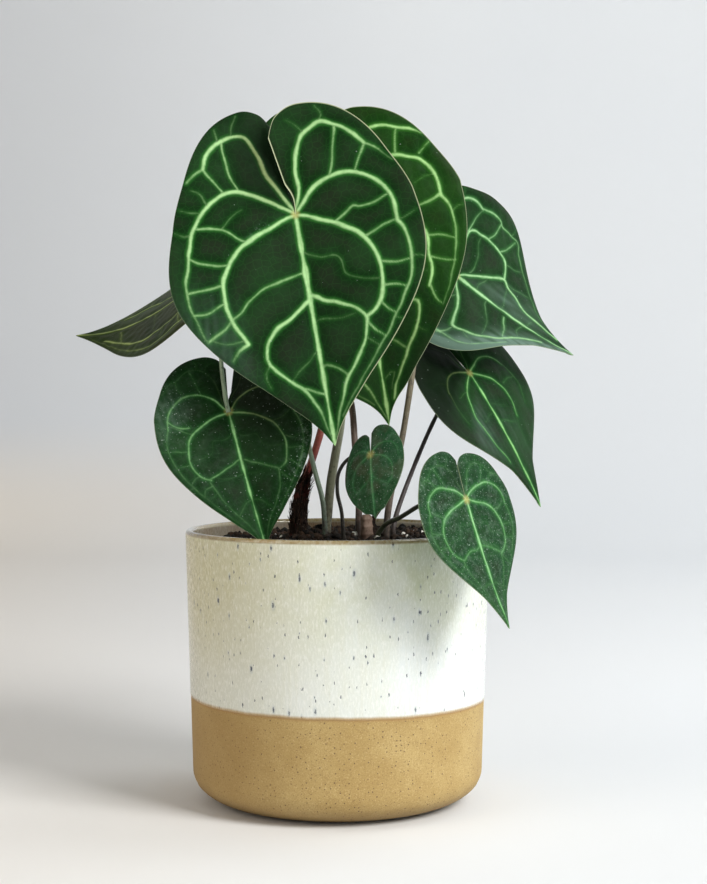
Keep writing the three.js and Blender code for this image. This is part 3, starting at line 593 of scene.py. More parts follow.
def tube(path, radius, sides):
    """Round skin on a path: at each point a ring square to the path, and a pole at each
    end. radius is one number per point, or one per point and side."""
    along = unit(np.gradient(path, axis=0))
    right = unit(np.cross([0, 1, 0], along))
    up = np.cross(along, right)
    turn = np.arange(sides) / sides * 2 * np.pi
    radius = np.broadcast_to(np.asarray(radius, float).reshape(len(path), -1), (len(path), sides))
    rings = (
        path[:, None]
        + right[:, None] * (radius * np.cos(turn))[..., None]
        + up[:, None] * (radius * np.sin(turn))[..., None]
    )
    points = np.vstack([rings.reshape(-1, 3), path[:1], path[-1:]])
    count = len(path) * sides
    faces = [
        grid_faces(len(path), sides, True),
        fan(count, np.arange(sides), flip=True),
        fan(count + 1, count - sides + np.arange(sides)),
    ]
    return points, faces


def joined(parts):
    """One set of points and faces from several. Faces with the same number of corners are
    kept together."""
    points, faces, start = [], {}, 0
    for part_points, part_faces in parts:
        points.append(part_points)
        for f in part_faces:
            faces.setdefault(f.shape[1], []).append(f + start)
        start += len(part_points)
    return np.vstack(points), [np.vstack(f) for f in faces.values()]


# Blades

def outline_reach(angle):
    """Cubic curve through the outline points, whose slope at a point is the weighted
    harmonic mean of the slopes on its two sides, so it never overshoots."""
    gap = np.diff(OUTLINE_ANGLE)
    rise = np.diff(OUTLINE_REACH) / gap
    slope = np.zeros(len(OUTLINE_ANGLE))
    slope[0], slope[-1] = rise[0], rise[-1]
    before, after = gap[:-1], gap[1:]
    same = rise[:-1] * rise[1:] > 0
    w1, w2 = 2 * after + before, after + 2 * before
    slope[1:-1][same] = ((w1 + w2) / (w1 / rise[:-1] + w2 / rise[1:]))[same]
    i = np.clip(np.searchsorted(OUTLINE_ANGLE, angle, side="left") - 1, 0, len(gap) - 1)
    t = (angle - OUTLINE_ANGLE[i]) / gap[i]
    return (
        (2 * t**3 - 3 * t**2 + 1) * OUTLINE_REACH[i] + (t**3 - 2 * t**2 + t) * gap[i] * slope[i]
        + (3 * t**2 - 2 * t**3) * OUTLINE_REACH[i + 1] + (t**3 - t**2) * gap[i] * slope[i + 1]
    )


def blade_flat(leaf, side, angle, reach):
    """Place on the flat blade, across and along the midrib, in millimetres. Past 120
    degrees the angle is stretched so that the lobe ends at its own angle."""
    sinus = SINUS_ANGLE + (leaf["lobe_end"][side] - SINUS_ANGLE) * smooth((reach - 0.12) / 0.3)
    past = np.maximum(0, angle - LOBE_START) / (180 - LOBE_START)
    turned = np.radians(np.minimum(angle, LOBE_START) + past * (sinus - LOBE_START))
    drawn = 1 - leaf["drip"] * smooth(angle / 14) * (1 - smooth((angle - 22) / 55))
    distance = outline_reach(angle) * drawn * reach * leaf["length"]
    along = distance * np.cos(turned)
    along = np.where(along < 0, along * leaf["lobe"][side], along)
    ahead = np.clip(along / leaf["length"], 0, 1)
    across = distance * np.sin(turned) * leaf["width"][side] * (1 + leaf["taper"][side] * ahead)
    return across, along


def blade_surface(leaf, side, angle, reach):
    """Middle surface of a blade in its own frame, joint at 0, face to -Y, tip to -Z. Each
    half leaves the midrib at its fold angle and curves by its cup, lobes are lifted,
    the blade twists with distance, and the midrib itself bends by its curvatures."""
    length = leaf["length"]
    across, along = blade_flat(leaf, side, angle, reach)
    ahead = np.clip(along / length, -0.6, 1)
    fold = math.radians(leaf["fold"][side])
    cup = leaf["cup"][side] / length
    out = (np.sin(fold) - np.sin(fold - cup * across)) / cup
    up = (np.cos(fold - cup * across) - np.cos(fold)) / cup
    up = up + length * leaf["lift"][side] * smooth((angle - 110) / 70) * reach
    if "wave" in leaf and side == 0:
        third, fifth = leaf["wave"]
        wave = third * np.sin(np.radians(3 * angle)) + fifth * np.sin(np.radians(5 * angle))
        up = up + length * wave * reach * reach
    twist = math.radians(leaf["twist"]) * ahead
    signed = out if side == 1 else -out
    x = signed * np.cos(twist) - up * np.sin(twist)
    proud = signed * np.sin(twist) + up * np.cos(twist)

    def slope(a):
        f = a / length
        ahead_slope = leaf["bend"][1] * f + (leaf["bend"][2] - leaf["bend"][1]) * f * f / 2
        return np.where(a < 0, leaf["bend"][0] * f, ahead_slope)

    steps = (np.arange(16) + 0.5) / 16
    middle = slope(along[..., None] * steps)
    run = np.cos(middle).mean(-1) * along
    drop = -np.sin(middle).mean(-1) * along
    tilt = slope(along)
    return np.stack(
        [x, -(drop + proud * np.cos(tilt)), -(run + proud * np.sin(tilt))], -1
    )


def leaf_turn(leaf):
    """Rotation from the blade's frame: yaw about Z, then nod about X, then roll about Y."""
    nod, roll, yaw = (math.radians(leaf[k]) for k in ("nod", "roll", "yaw"))
    c, s = math.cos, math.sin
    about_y = np.array([[c(-roll), 0, s(-roll)], [0, 1, 0], [-s(-roll), 0, c(-roll)]])
    about_x = np.array([[1, 0, 0], [0, c(-nod), -s(-nod)], [0, s(-nod), c(-nod)]])
    about_z = np.array([[c(yaw), -s(yaw), 0], [s(yaw), c(yaw), 0], [0, 0, 1]])
    return about_z @ about_x @ about_y


def on_leaf(leaf, across, proud, along):
    """A point given beside, in front of and along from the joint of a leaf."""
    return leaf_turn(leaf) @ np.array([across, -proud, -along], float) + np.array(leaf["at"])


def vein_lines(name, side, seed):
    """Lines of the veins of one half, flat on the blade, with half width at both ends and
    strength. The species' angles are stretched between the angles at which this half's
    veins leave the joint, and away from the midrib and the edge every bend is shifted a
    little at random, except on the front leaf."""
    leaf = LEAVES[name]
    rng = np.random.default_rng(seed)
    size = (leaf["length"] / VEIN_LENGTH) ** VEIN_POWER * FINER_VEINS.get(name, 1)
    large = name in LARGE_LEAVES
    known = np.array([0, *VEIN_START, 180.0])
    stretched = np.array([0, *leaf["veins"][side], 180.0])
    given = OWN_VEINS.get((name, side), SPECIES_VEINS if large else SMALL_VEINS)
    kinds = LARGE_LEAF if large else SMALL_LEAF
    own = known if (name, side) in OWN_VEINS else stretched
    loose = 0.0 if name == "front" else 0.7
    lines = []

    def lay(points, wide, narrow, first, last):
        p = np.array(points, float)
        inner = (p[:, 1:] > 30) & (p[:, 1:] < 93) & (p[:, :1] > 4)
        p += rng.normal(size=p.shape) * loose * inner
        if len(p) == 2:
            p = np.array([p[0], p.mean(0) + rng.normal(size=2) * 1.2, p[1]])
        p = centripetal_path(p, 2.5)
        angle = np.interp(p[:, 0], known, own)
        across, along = blade_flat(leaf, side, angle, np.clip(p[:, 1], 0, 100) / 100)
        t = np.linspace(0, 1, len(p))
        rising = 0.72 + 0.28 * smooth(t * 4) if p[0, 1] < 2 else 1.0
        width = (wide + (narrow - wide) * t) * rising * size
        lines.append((np.stack([across, along], -1), width, first + (last - first) * t))

    reach = np.linspace(0, 99.5, 30)
    lay(np.stack([np.zeros(30), reach], -1), *kinds["midrib"])
    for kind in ("strong", "side", "ring", "cross", "thin"):
        for points in given[kind] + MORE_VEINS.get((name, side), {}).get(kind, []):
            lay(points, *kinds[kind])
    return lines


def distance_to_veins(flat, lines):
    """Distance of each flat point from the edge of the nearest vein, negative inside a
    vein, and that vein's strength. Each piece of line looks only at the points near it."""
    apart = np.full(len(flat), VEIN_REACH)
    rank = np.zeros(len(flat))
    for points, width, strength in lines:
        spans = zip(points[:-1], points[1:], width[:-1], width[1:], strength)
        for a, b, wa, wb, held in spans:
            low, high = np.minimum(a, b) - VEIN_REACH, np.maximum(a, b) + VEIN_REACH
            near = np.nonzero(((flat > low) & (flat < high)).all(1))[0]
            if not len(near):
                continue
            span = b - a
            along = np.clip((flat[near] - a) @ span / (span @ span + 1e-9), 0, 1)
            gap = np.linalg.norm(flat[near] - a - along[:, None] * span, axis=1)
            gap -= wa + (wb - wa) * along
            closer = gap < apart[near]
            apart[near[closer]] = gap[closer]
            rank[near[closer]] = held
    return apart, rank


def patches(entries, sides, angles, reach):
    """Sum of soft patches on a blade's grid. Each lies on one half and falls off as the
    bell curve of its distance in angle and in reach, over its spreads."""
    total = np.zeros((len(reach), len(angles)))
    for side, angle, spread, at, width, strength in entries:
        fall = ((angles - angle) / spread)[None] ** 2 + ((reach - at) / width)[:, None] ** 2
        total += strength * np.exp(-fall) * (sides == side)
    return total


def blade_faces(rows, columns):
    """Faces of a closed blade. Its points are the face's grid of rows and columns, then the
    back's grid, which has every second row and column, then a pole for each. The edge
    and both sides of the sinus are closed by five-cornered faces, of which each joins
    three points of the face to two of the back."""
    low_rows, low_columns = rows // 2, columns // 2 + 1
    count = rows * columns
    top_pole = count + low_rows * low_columns
    low_pole = top_pole + 1

    def top_index(row, column):
        return row * columns + column

    def low_index(row, column):
        return count + row * low_columns + column

    ring = np.arange(columns - 1)
    k = np.arange(low_columns - 1)
    rim_wall = np.stack([
        top_index(rows - 1, 2 * k), top_index(rows - 1, 2 * k + 1),
        top_index(rows - 1, 2 * k + 2), low_index(low_rows - 1, k + 1),
        low_index(low_rows - 1, k),
    ], -1)
    j = np.arange(low_rows - 1)
    slits = []
    for column, low_column, flip in ((0, 0, False), (columns - 1, low_columns - 1, True)):
        wall = np.stack([
            top_index(2 * j + 3, column), low_index(j + 1, low_column), low_index(j, low_column),
            top_index(2 * j + 1, column), top_index(2 * j + 2, column),
        ], -1)
        first = np.array([[
            top_index(1, column), low_index(0, low_column), low_pole, top_pole,
            top_index(0, column),
        ]])
        wall = np.vstack([wall, first])
        slits.append(wall if flip else wall[:, ::-1])
    return [
        grid_faces(rows, columns, False),
        grid_faces(low_rows, low_columns, False, start=count, flip=True),
        np.stack([np.full(len(ring), top_pole), ring + 1, ring], -1),
        np.stack([np.full(len(k), low_pole), low_index(0, k), low_index(0, k + 1)], -1),
        rim_wall[:, ::-1], *slits,
    ]


def blade_parts(name, seed):
    """Closed blade: the middle surface on a grid of angle and reach, moved out by half
    the thickness along its normal on both faces, thinner at the edge. Veins stand a
    little proud on the face and more on the back, and the skin between them is puffed.
    The back is every second point of the grid, joined to the face round the edge."""
    leaf = LEAVES[name]
    length = leaf["length"]
    step = next(step for longer_than, step in GRID_STEPS if length > longer_than)
    fine_angle = np.linspace(0, 180, 1500)
    rim = blade_surface(leaf, 1, fine_angle, np.ones(1500))
    run = np.concatenate([[0], np.cumsum(np.linalg.norm(np.diff(rim, axis=0), axis=1))])
    half = 2 * round(run[-1] / step / 2)
    angles = np.interp(np.linspace(0, run[-1], half + 1), run, fine_angle)
    # Rows lie a little more than a step apart, and closer towards the edge
    rows = 2 * round(length / step / 2.3)
    reach = 1 - (1 - np.arange(1, rows + 1) / rows) ** 1.08

    # Columns run from the sinus down the right half to the tip, then up the left half
    sides = np.concatenate([np.ones(half), np.zeros(half + 1)]).astype(int)
    column_angle = np.concatenate([angles[:0:-1], angles])
    columns = 2 * half + 1
    middle = np.zeros((rows, columns, 3))
    normal = np.zeros((rows, columns, 3))
    flat = np.zeros((rows, columns, 2))
    apart = np.zeros((rows, columns))
    rank = np.zeros((rows, columns))
    for side in (0, 1):
        own = sides == side
        angle, r = np.meshgrid(column_angle[own], reach)
        middle[:, own] = blade_surface(leaf, side, angle, r)
        inner, outer = np.clip(angle - 0.4, 0, 180), np.clip(angle + 0.4, 0, 180)
        near = np.minimum(r, 0.995)
        turn = blade_surface(leaf, side, outer, near) - blade_surface(leaf, side, inner, near)
        out = (blade_surface(leaf, side, angle, near + 0.005)
               - blade_surface(leaf, side, angle, near - 0.005))
        normal[:, own] = unit(np.cross(out, turn) if side == 1 else np.cross(turn, out))
        flat[:, own] = np.stack(blade_flat(leaf, side, angle, r), -1)
        # Veins waver, because each place looks for them a little beside itself
        wander = np.stack([ripple(flat[:, own], 14, seed), ripple(flat[:, own], 14, seed + 1)], -1)
        moved = flat[:, own] + wander * 0.32 * min(1, length / 80)
        found, found_rank = distance_to_veins(
            moved.reshape(-1, 2), vein_lines(name, side, seed * 10 + side))
        apart[:, own] = found.reshape(angle.shape)
        rank[:, own] = found_rank.reshape(angle.shape)
    normal[:, half] = unit(normal[:, half] + normal[:, half - 1])

    # Painted sheen lies in streaks along the leaf; painted shade stays even
    tone = patches(PAINTED_SHEEN_AND_SHADE[name], sides, column_angle, reach)
    streaks = 1 + 0.45 * ripple(np.stack([flat[..., 0] * 2.2, flat[..., 1] * 0.5], -1), 9, seed + 4)
    tone = np.where(tone > 0, tone * np.clip(streaks, 0, 2), tone)
    all_over, spots = DUST[name]
    dust = all_over + patches(spots, sides, column_angle, reach)

    # Distance to the edge or to the sinus, and the relief
    scale = length * outline_reach(column_angle)
    sinus_gap = np.radians(180 - column_angle) * (reach[:, None] * scale)
    edge = np.minimum((1 - reach)[:, None] * scale, sinus_gap)
    # A margin that shows wider on one half is partly a painted highlight on the lit edge
    left_margin, right_margin = MARGINS_AND_HIGHLIGHTS.get(name, PLAIN_MARGIN)
    pale = np.where(sides == 1, right_margin, left_margin)
    ridge = (1 - smooth((apart + 0.8) / 1.6)) * rank
    puff = smooth((apart - 0.2) / 5) * smooth(edge / 3)
    fade = smooth(edge / 2)
    thick = BLADE_EDGE_THICKNESS + (BLADE_THICKNESS - BLADE_EDGE_THICKNESS) * smooth(edge / 1.5)
    grain = ripple(middle, 9, seed + 7) * 0.12 * smooth(edge / 4)
    face = thick / 2 + (0.22 * ridge + 0.3 * puff) * fade + grain
    back = thick / 2 + (0.6 * ridge - 0.25 * puff) * fade - grain
    top = (middle + normal * face[..., None]).reshape(-1, 3)
    low = (middle - normal * back[..., None])[1::2, ::2].reshape(-1, 3)
    pole_normal = unit(normal[0].mean(0))[None]
    points = np.vstack([top, low, pole_normal * 0.6, -pole_normal])
    points = points @ leaf_turn(leaf).T + np.array(leaf["at"])

    def both(field, pole):
        return np.concatenate([field.ravel(), field[1::2, ::2].ravel(), [pole, pole]])

    values = [
        ("vein_gap", both(apart, -1)), ("vein_rank", both(rank, 1)),
        ("edge_gap", both(edge + 0.45 * (1 - pale), 20)),
        ("face", np.concatenate([np.ones(len(top)), np.zeros(len(low)), [1, 0]])),
        ("tone", both(tone, 0)), ("dust", both(dust, 0)),
    ]
    beside = flat[..., 0] * np.where(sides == 1, 1, -1)
    uv = np.stack([both(beside, 0), both(flat[..., 1], 0)], -1)
    return points, blade_faces(rows, columns), values, uv


# Shader helpers

def node(tree, kind, inputs=(), **settings):
    """A shader node with its settings and its inputs. An input is a number, a colour or
    the output socket of another node."""
    made = tree.nodes.new(kind)
    for key, value in settings.items():
        setattr(made, key, value)
    for key, value in dict(inputs).items():
        socket = made.inputs[key]
        if isinstance(value, bpy.types.NodeSocket):
            tree.links.new(value, socket)
        else:
            socket.default_value = value
    return made


def sums(tree, operation, *terms):
    """Output of a maths node on two or three terms."""
    return node(tree, "ShaderNodeMath", dict(enumerate(terms)), operation=operation).outputs[0]


def between(tree, value, low, high, to_low=0.0, to_high=1.0, soft=True):
    """A value mapped from one range to another, soft at both ends."""
    return node(
        tree, "ShaderNodeMapRange",
        {"Value": value, "From Min": low, "From Max": high, "To Min": to_low, "To Max": to_high},
        interpolation_type="SMOOTHSTEP" if soft else "LINEAR",
    ).outputs["Result"]


def mixed(tree, share, first, second, blend="MIX"):
    """Two colours mixed by a share."""
    made = tree.nodes.new("ShaderNodeMix")
    made.data_type = "RGBA"
    made.blend_type = blend
    made.clamp_factor = True
    for name, value in (("Factor_Float", share), ("A_Color", first), ("B_Color", second)):
        socket = next(s for s in made.inputs if s.identifier == name)
        if isinstance(value, bpy.types.NodeSocket):
            tree.links.new(value, socket)
        elif name == "Factor_Float":
            socket.default_value = value
        else:
            socket.default_value = (*value[:3], 1)
    return next(s for s in made.outputs if s.identifier == "Result_Color")


def noise(tree, vector, scale, detail=3.0, rough=0.55, out="Fac"):
    """Noise texture on a vector."""
    return node(
        tree, "ShaderNodeTexNoise",
        {"Vector": vector, "Scale": scale, "Detail": detail, "Roughness": rough},
    ).outputs[out]


def effect(name, inputs, outputs):
    """Empty shader node group with named sockets. Returns the tree, its input node and
    its output node."""
    tree = bpy.data.node_groups.new(name, "ShaderNodeTree")
    kinds = {"value": "NodeSocketFloat", "colour": "NodeSocketColor", "vector": "NodeSocketVector"}
    for key, kind, default in inputs:
        socket = tree.interface.new_socket(key, in_out="INPUT", socket_type=kinds[kind])
        if default is not None:
            socket.default_value = (*default, 1) if kind == "colour" else default
    for key, kind in outputs:
        tree.interface.new_socket(key, in_out="OUTPUT", socket_type=kinds[kind])
    return tree, tree.nodes.new("NodeGroupInput"), tree.nodes.new("NodeGroupOutput")


def placed(tree, group, inputs):
    """A node group set in a material with its own values."""
    made = tree.nodes.new("ShaderNodeGroup")
    made.node_tree = group
    for key, value in inputs.items():
        if isinstance(value, bpy.types.NodeSocket):
            tree.links.new(value, made.inputs[key])
        elif isinstance(value, tuple):
            made.inputs[key].default_value = (*value[:3], 1)
        else:
            made.inputs[key].default_value = value
    return made.outputs


def new_material(name, **constants):
    """Material with its Principled shader. constants set the shader's own sockets."""
    material = bpy.data.materials.new(name)
    material.use_nodes = True
    tree = material.node_tree
    shader = tree.nodes["Principled BSDF"]
    for key, value in constants.items():
        shader.inputs[key.replace("_", " ")].default_value = value
    return material, tree, shader


def held_value(tree, name):
    """Number stored on the mesh under a name."""
    return node(tree, "ShaderNodeAttribute", attribute_name=name).outputs["Fac"]


def spot_and_flat(tree):
    """Place on the object in metres, and the piece's own UV map in millimetres."""
    outputs = node(tree, "ShaderNodeTexCoord").outputs
    return outputs["Object"], outputs["UV"]


def drawn_out(tree, flat, across, along):
    """A UV map scaled across and along, which draws a pattern out along the piece."""
    return node(tree, "ShaderNodeMapping", {"Vector": flat, "Scale": (across, along, 1)}).outputs[0]


def stirred(tree, vector, flat, scale):
    """A vector moved a little to and fro by noise on the UV map."""
    moves = noise(tree, flat, scale, 2.0, out="Color")
    return node(tree, "ShaderNodeVectorMath", {0: vector, 1: moves}, operation="ADD").outputs[0]


def dress(tree, shader, colour, roughness, height, strength, distance):
    """Base colour, roughness and a Bump node's normal set on a shader."""
    tree.links.new(colour, shader.inputs["Base Color"])
    if isinstance(roughness, bpy.types.NodeSocket):
        tree.links.new(roughness, shader.inputs["Roughness"])
    else:
        shader.inputs["Roughness"].default_value = roughness
    relief = {"Height": height, "Strength": strength, "Distance": distance}
    normal = node(tree, "ShaderNodeBump", relief).outputs["Normal"]
    tree.links.new(normal, shader.inputs["Normal"])


def dots_effect():
    """Scattered dots: inside each cell of a Voronoi pattern lies one dot of random size,
    and only a share of the cells keep theirs."""
    tree, given, result = effect(
        "scattered_dots",
        [("Vector", "vector", None), ("Cell", "value", 5.0), ("Radius", "value", 0.5),
         ("Keep", "value", 0.5)],
        [("Mask", "value"), ("Shade", "value")],
    )
    density = sums(tree, "DIVIDE", 1.0, given.outputs["Cell"])
    cells = node(
        tree, "ShaderNodeTexVoronoi",
        {"Vector": given.outputs["Vector"], "Scale": density, "Randomness": 0.9},
        voronoi_dimensions="2D",
    )
    apart = sums(tree, "MULTIPLY", cells.outputs["Distance"], given.outputs["Cell"])
    parts = node(tree, "ShaderNodeSeparateColor", {"Color": cells.outputs["Color"]}).outputs
    size = sums(tree, "MULTIPLY_ADD", parts[1], 0.7, 0.3)
    size = sums(tree, "MULTIPLY", size, given.outputs["Radius"])
    outside = between(tree, sums(tree, "DIVIDE", apart, size), 0.55, 1.0)
    inside = sums(tree, "SUBTRACT", 1.0, outside)
    kept = sums(tree, "LESS_THAN", parts[0], given.outputs["Keep"])
    tree.links.new(sums(tree, "MULTIPLY", inside, kept), result.inputs["Mask"])
    tree.links.new(parts[2], result.inputs["Shade"])
    return tree


def leaf_effect(dots):
    """Colour, roughness and height of a blade from its distances to veins and edge: veins
    with a green glow beside them, velvety mottled skin, faint netting, a pale edge, dust
    specks, and a paler back."""
    tree, given, result = effect(
        "leaf_markings",
        [("Skin", "colour", (0.01, 0.04, 0.02)), ("Middle", "colour", (0.02, 0.03, 0.02)),
         ("Light", "colour", (0.03, 0.09, 0.05)), ("Vein", "colour", (0.35, 0.7, 0.28)),
         ("Glow", "colour", (0.05, 0.2, 0.05)),
         ("Margin", "colour", (0.3, 0.3, 0.16)), ("Back", "colour", (0.12, 0.2, 0.09)),
         ("Wear", "value", 0.0)],
        [("Colour", "colour"), ("Roughness", "value"), ("Height", "value")],
    )
    inputs = given.outputs
    spot, flat = spot_and_flat(tree)
    apart, rank = held_value(tree, "vein_gap"), held_value(tree, "vein_rank")
    edge, face = held_value(tree, "edge_gap"), held_value(tree, "face")

    # Veins with a ragged edge, and the glow beside them
    ragged = sums(tree, "MULTIPLY_ADD", noise(tree, spot, 700.0, 2.0), 0.4, -0.45)
    ragged = sums(tree, "MULTIPLY_ADD", noise(tree, spot, 190.0, 2.0), 0.6, ragged)
    apart_ragged = sums(tree, "ADD", apart, ragged)
    line = sums(tree, "SUBTRACT", 1.0, between(tree, apart_ragged, -0.8, 0.4))
    line = sums(tree, "MULTIPLY", line, rank)
    glow = sums(tree, "SUBTRACT", 1.0, between(tree, apart_ragged, 0.0, 2.0))
    glow = sums(tree, "MULTIPLY", sums(tree, "POWER", glow, 1.5), rank)

    # Skin, with light patches, grain and netting
    middle = between(tree, apart, 1.5, 7.0)
    patch = between(tree, noise(tree, spot, 42.0, 3.0), 0.38, 0.68)
    skin = mixed(tree, middle, inputs["Skin"], inputs["Middle"])
    skin = mixed(tree, sums(tree, "MULTIPLY", patch, 0.75), skin, inputs["Light"])
    grain = noise(tree, spot, 1500.0, 2.0, 0.7)
    skin = mixed(tree, between(tree, grain, 0.4, 0.8, 0.0, 0.3), skin, inputs["Light"])
    netting = node(
        tree, "ShaderNodeTexVoronoi", {"Vector": flat, "Scale": 0.3, "Randomness": 1.0},
        voronoi_dimensions="2D", feature="DISTANCE_TO_EDGE",
    ).outputs["Distance"]
    net = sums(tree, "SUBTRACT", 1.0, between(tree, netting, 0.0, 0.1))
    skin = mixed(tree, sums(tree, "MULTIPLY", net, 0.14), skin, inputs["Glow"])
    tinted = mixed(tree, sums(tree, "MULTIPLY", glow, 0.9), skin, inputs["Glow"])

    # Painted shade and painted sheen
    tone = held_value(tree, "tone")
    tinted = mixed(tree, between(tree, tone, 0.0, -1.0, 0.0, 0.85, soft=False), tinted,
                   LEAF_TINTS["painted_shade"])
    tinted = mixed(tree, between(tree, tone, 0.0, 1.0, 0.0, 0.7, soft=False), tinted,
                   LEAF_TINTS["painted_sheen"])

    # Veins, duller under painted shade, the joint, and worn places
    vein_shade = noise(tree, spot, 260.0, 2.0)
    vein = mixed(tree, between(tree, vein_shade, 0.35, 0.75, 0.0, 0.25), inputs["Vein"],
                 inputs["Glow"])
    shaded = between(tree, tone, -0.15, -0.9, 0.0, 0.75, soft=False)
    vein = mixed(tree, shaded, vein, LEAF_TINTS["shaded_vein"])
    marked = mixed(tree, line, tinted, vein)
    from_joint = node(tree, "ShaderNodeVectorMath", {0: flat}, operation="LENGTH").outputs["Value"]
    star = sums(tree, "SUBTRACT", 1.0, between(tree, from_joint, 0.6, 3.2))
    marked = mixed(tree, sums(tree, "MULTIPLY", star, 0.7), marked, LEAF_TINTS["joint"])
    browned = between(tree, noise(tree, spot, 70.0, 3.0), 0.52, 0.62)
    marked = mixed(tree, sums(tree, "MULTIPLY", browned, inputs["Wear"]), marked,
                   LEAF_TINTS["worn"])

    # Dust: fine and coarse specks, and a thin film
    dusting = held_value(tree, "dust")
    strewn = stirred(tree, flat, flat, 0.9)
    fine = placed(tree, dots, {"Vector": strewn, "Cell": 1.6, "Radius": 0.3, "Keep": dusting})
    coarse = placed(tree, dots, {"Vector": strewn, "Cell": 4.3, "Radius": 0.42,
                                 "Keep": sums(tree, "MULTIPLY", dusting, 0.4)})
    dust = sums(tree, "MAXIMUM", fine["Mask"], coarse["Mask"])
    dusty = sums(tree, "MULTIPLY", dust, sums(tree, "MULTIPLY_ADD", fine["Shade"], 0.6, 0.12))
    film = between(tree, noise(tree, spot, 330.0, 4.0, 0.7), 0.45, 0.72)
    film = sums(tree, "MULTIPLY", sums(tree, "MULTIPLY", film, dusting), 0.22)
    marked = mixed(tree, film, marked, LEAF_TINTS["film"])
    marked = mixed(tree, dusty, marked, LEAF_TINTS["dust"])

    # Margin, partly a painted highlight along lit edges, and the back in place of the face
    margin = sums(tree, "SUBTRACT", 1.0, between(tree, edge, 0.15, 0.6))
    marked = mixed(tree, sums(tree, "MULTIPLY", margin, 0.85), marked, inputs["Margin"])

    mottled = between(tree, noise(tree, spot, 120.0, 3.0), 0.3, 0.7, 0.2, 0.6)
    back = mixed(tree, mottled, inputs["Back"], inputs["Glow"])
    back = mixed(tree, sums(tree, "MULTIPLY", line, 0.8), back, inputs["Vein"])
    tree.links.new(mixed(tree, face, back, marked), result.inputs["Colour"])

    rough = sums(tree, "MULTIPLY_ADD", grain, 0.16, 0.42)
    rough = sums(tree, "ADD", rough, sums(tree, "MULTIPLY", dust, 0.3))
    tree.links.new(rough, result.inputs["Roughness"])
    height = sums(tree, "MULTIPLY_ADD", line, 0.5, sums(tree, "MULTIPLY", grain, 0.35))
    height = sums(tree, "ADD", height, sums(tree, "MULTIPLY", netting, 0.6))
    tree.links.new(height, result.inputs["Height"])
    return tree


def blade_material(name, markings, sheen, **look):
    """Velvety blade: the markings, and a sheen that lights up where it is seen aslant."""
    material, tree, shader = new_material(
        name, Sheen_Weight=sheen, Sheen_Roughness=0.4, Sheen_Tint=(0.6, 0.8, 0.72, 1),
        Specular_IOR_Level=0.06,
    )
    marks = placed(tree, markings, look)
    dress(tree, shader, marks["Colour"], marks["Roughness"], marks["Height"], 0.35, 0.0004)
    return material


def stem_effect():
    """Stem skin: a colour from foot to blade, dark streaks along it, dark flecks, pale
    scurf, and soil on the foot. The piece holds how far along it a point lies."""
    tree, given, result = effect(
        "stem_markings",
        [("Low", "colour", (0.06, 0.06, 0.04)), ("High", "colour", (0.2, 0.2, 0.12))],
        [("Colour", "colour"), ("Roughness", "value"), ("Height", "value")],
    )
    low, high = given.outputs["Low"], given.outputs["High"]
    share = held_value(tree, "along")
    spot, flat = spot_and_flat(tree)
    colour = mixed(tree, between(tree, share, 0.0, 0.75), low, high)
    streak = noise(tree, drawn_out(tree, flat, 1.3, 0.05), 2.0, 3.0)
    dark = mixed(tree, 1.0, low, (0.35, 0.35, 0.35), blend="MULTIPLY")
    colour = mixed(tree, between(tree, streak, 0.45, 0.75, 0.0, 0.55), colour, dark)
    blotch = noise(tree, spot, 420.0, 3.0, 0.65)
    colour = mixed(tree, between(tree, blotch, 0.56, 0.7, 0.0, 0.7), colour, dark)
    scurf = between(tree, noise(tree, spot, 900.0, 2.0, 0.7), 0.62, 0.74, 0.0, 0.35)
    colour = mixed(tree, scurf, colour, (0.42, 0.4, 0.33))
    soiled = between(tree, share, 0.19, 0.06)
    soiled = sums(tree, "MULTIPLY", soiled, between(tree, blotch, 0.3, 0.6))
    colour = mixed(tree, sums(tree, "MULTIPLY", soiled, 0.85), colour, (0.018, 0.012, 0.008))
    tree.links.new(colour, result.inputs["Colour"])
    tree.links.new(between(tree, blotch, 0.3, 0.7, 0.36, 0.6), result.inputs["Roughness"])
    relief = sums(tree, "ADD", streak, sums(tree, "MULTIPLY", blotch, 0.5))
    tree.links.new(relief, result.inputs["Height"])
    return tree


def petiole_material(name, stem_markings, low, high):
    """Satin stem skin with its own colours at the foot and at the blade."""
    material, tree, shader = new_material(name, Specular_IOR_Level=0.4, Sheen_Weight=0.1)
    marks = placed(tree, stem_markings, {"Low": low, "High": high})
    dress(tree, shader, marks["Colour"], marks["Roughness"], marks["Height"], 0.5, 0.0005)
    return material


def husk_material():
    """Dry brown fibres: dark and light brown streaks with a rough broken surface."""
    material, tree, shader = new_material("dry_husk", Specular_IOR_Level=0.2)
    spot, flat = spot_and_flat(tree)
    streak = noise(tree, drawn_out(tree, flat, 2.6, 0.12), 2.0, 4.0, 0.65)
    light = between(tree, streak, 0.42, 0.7)
    colour = mixed(tree, light, (0.006, 0.004, 0.003), (0.05, 0.022, 0.012))
    red = between(tree, noise(tree, spot, 130.0, 2.0), 0.54, 0.66, 0.0, 0.7)
    colour = mixed(tree, red, colour, (0.075, 0.012, 0.008))
    grit = between(tree, noise(tree, spot, 800.0, 2.0, 0.7), 0.62, 0.72, 0.0, 0.6)
    colour = mixed(tree, grit, colour, (0.2, 0.15, 0.1))
    dress(tree, shader, colour, 0.85, streak, 0.9, 0.001)
    return material


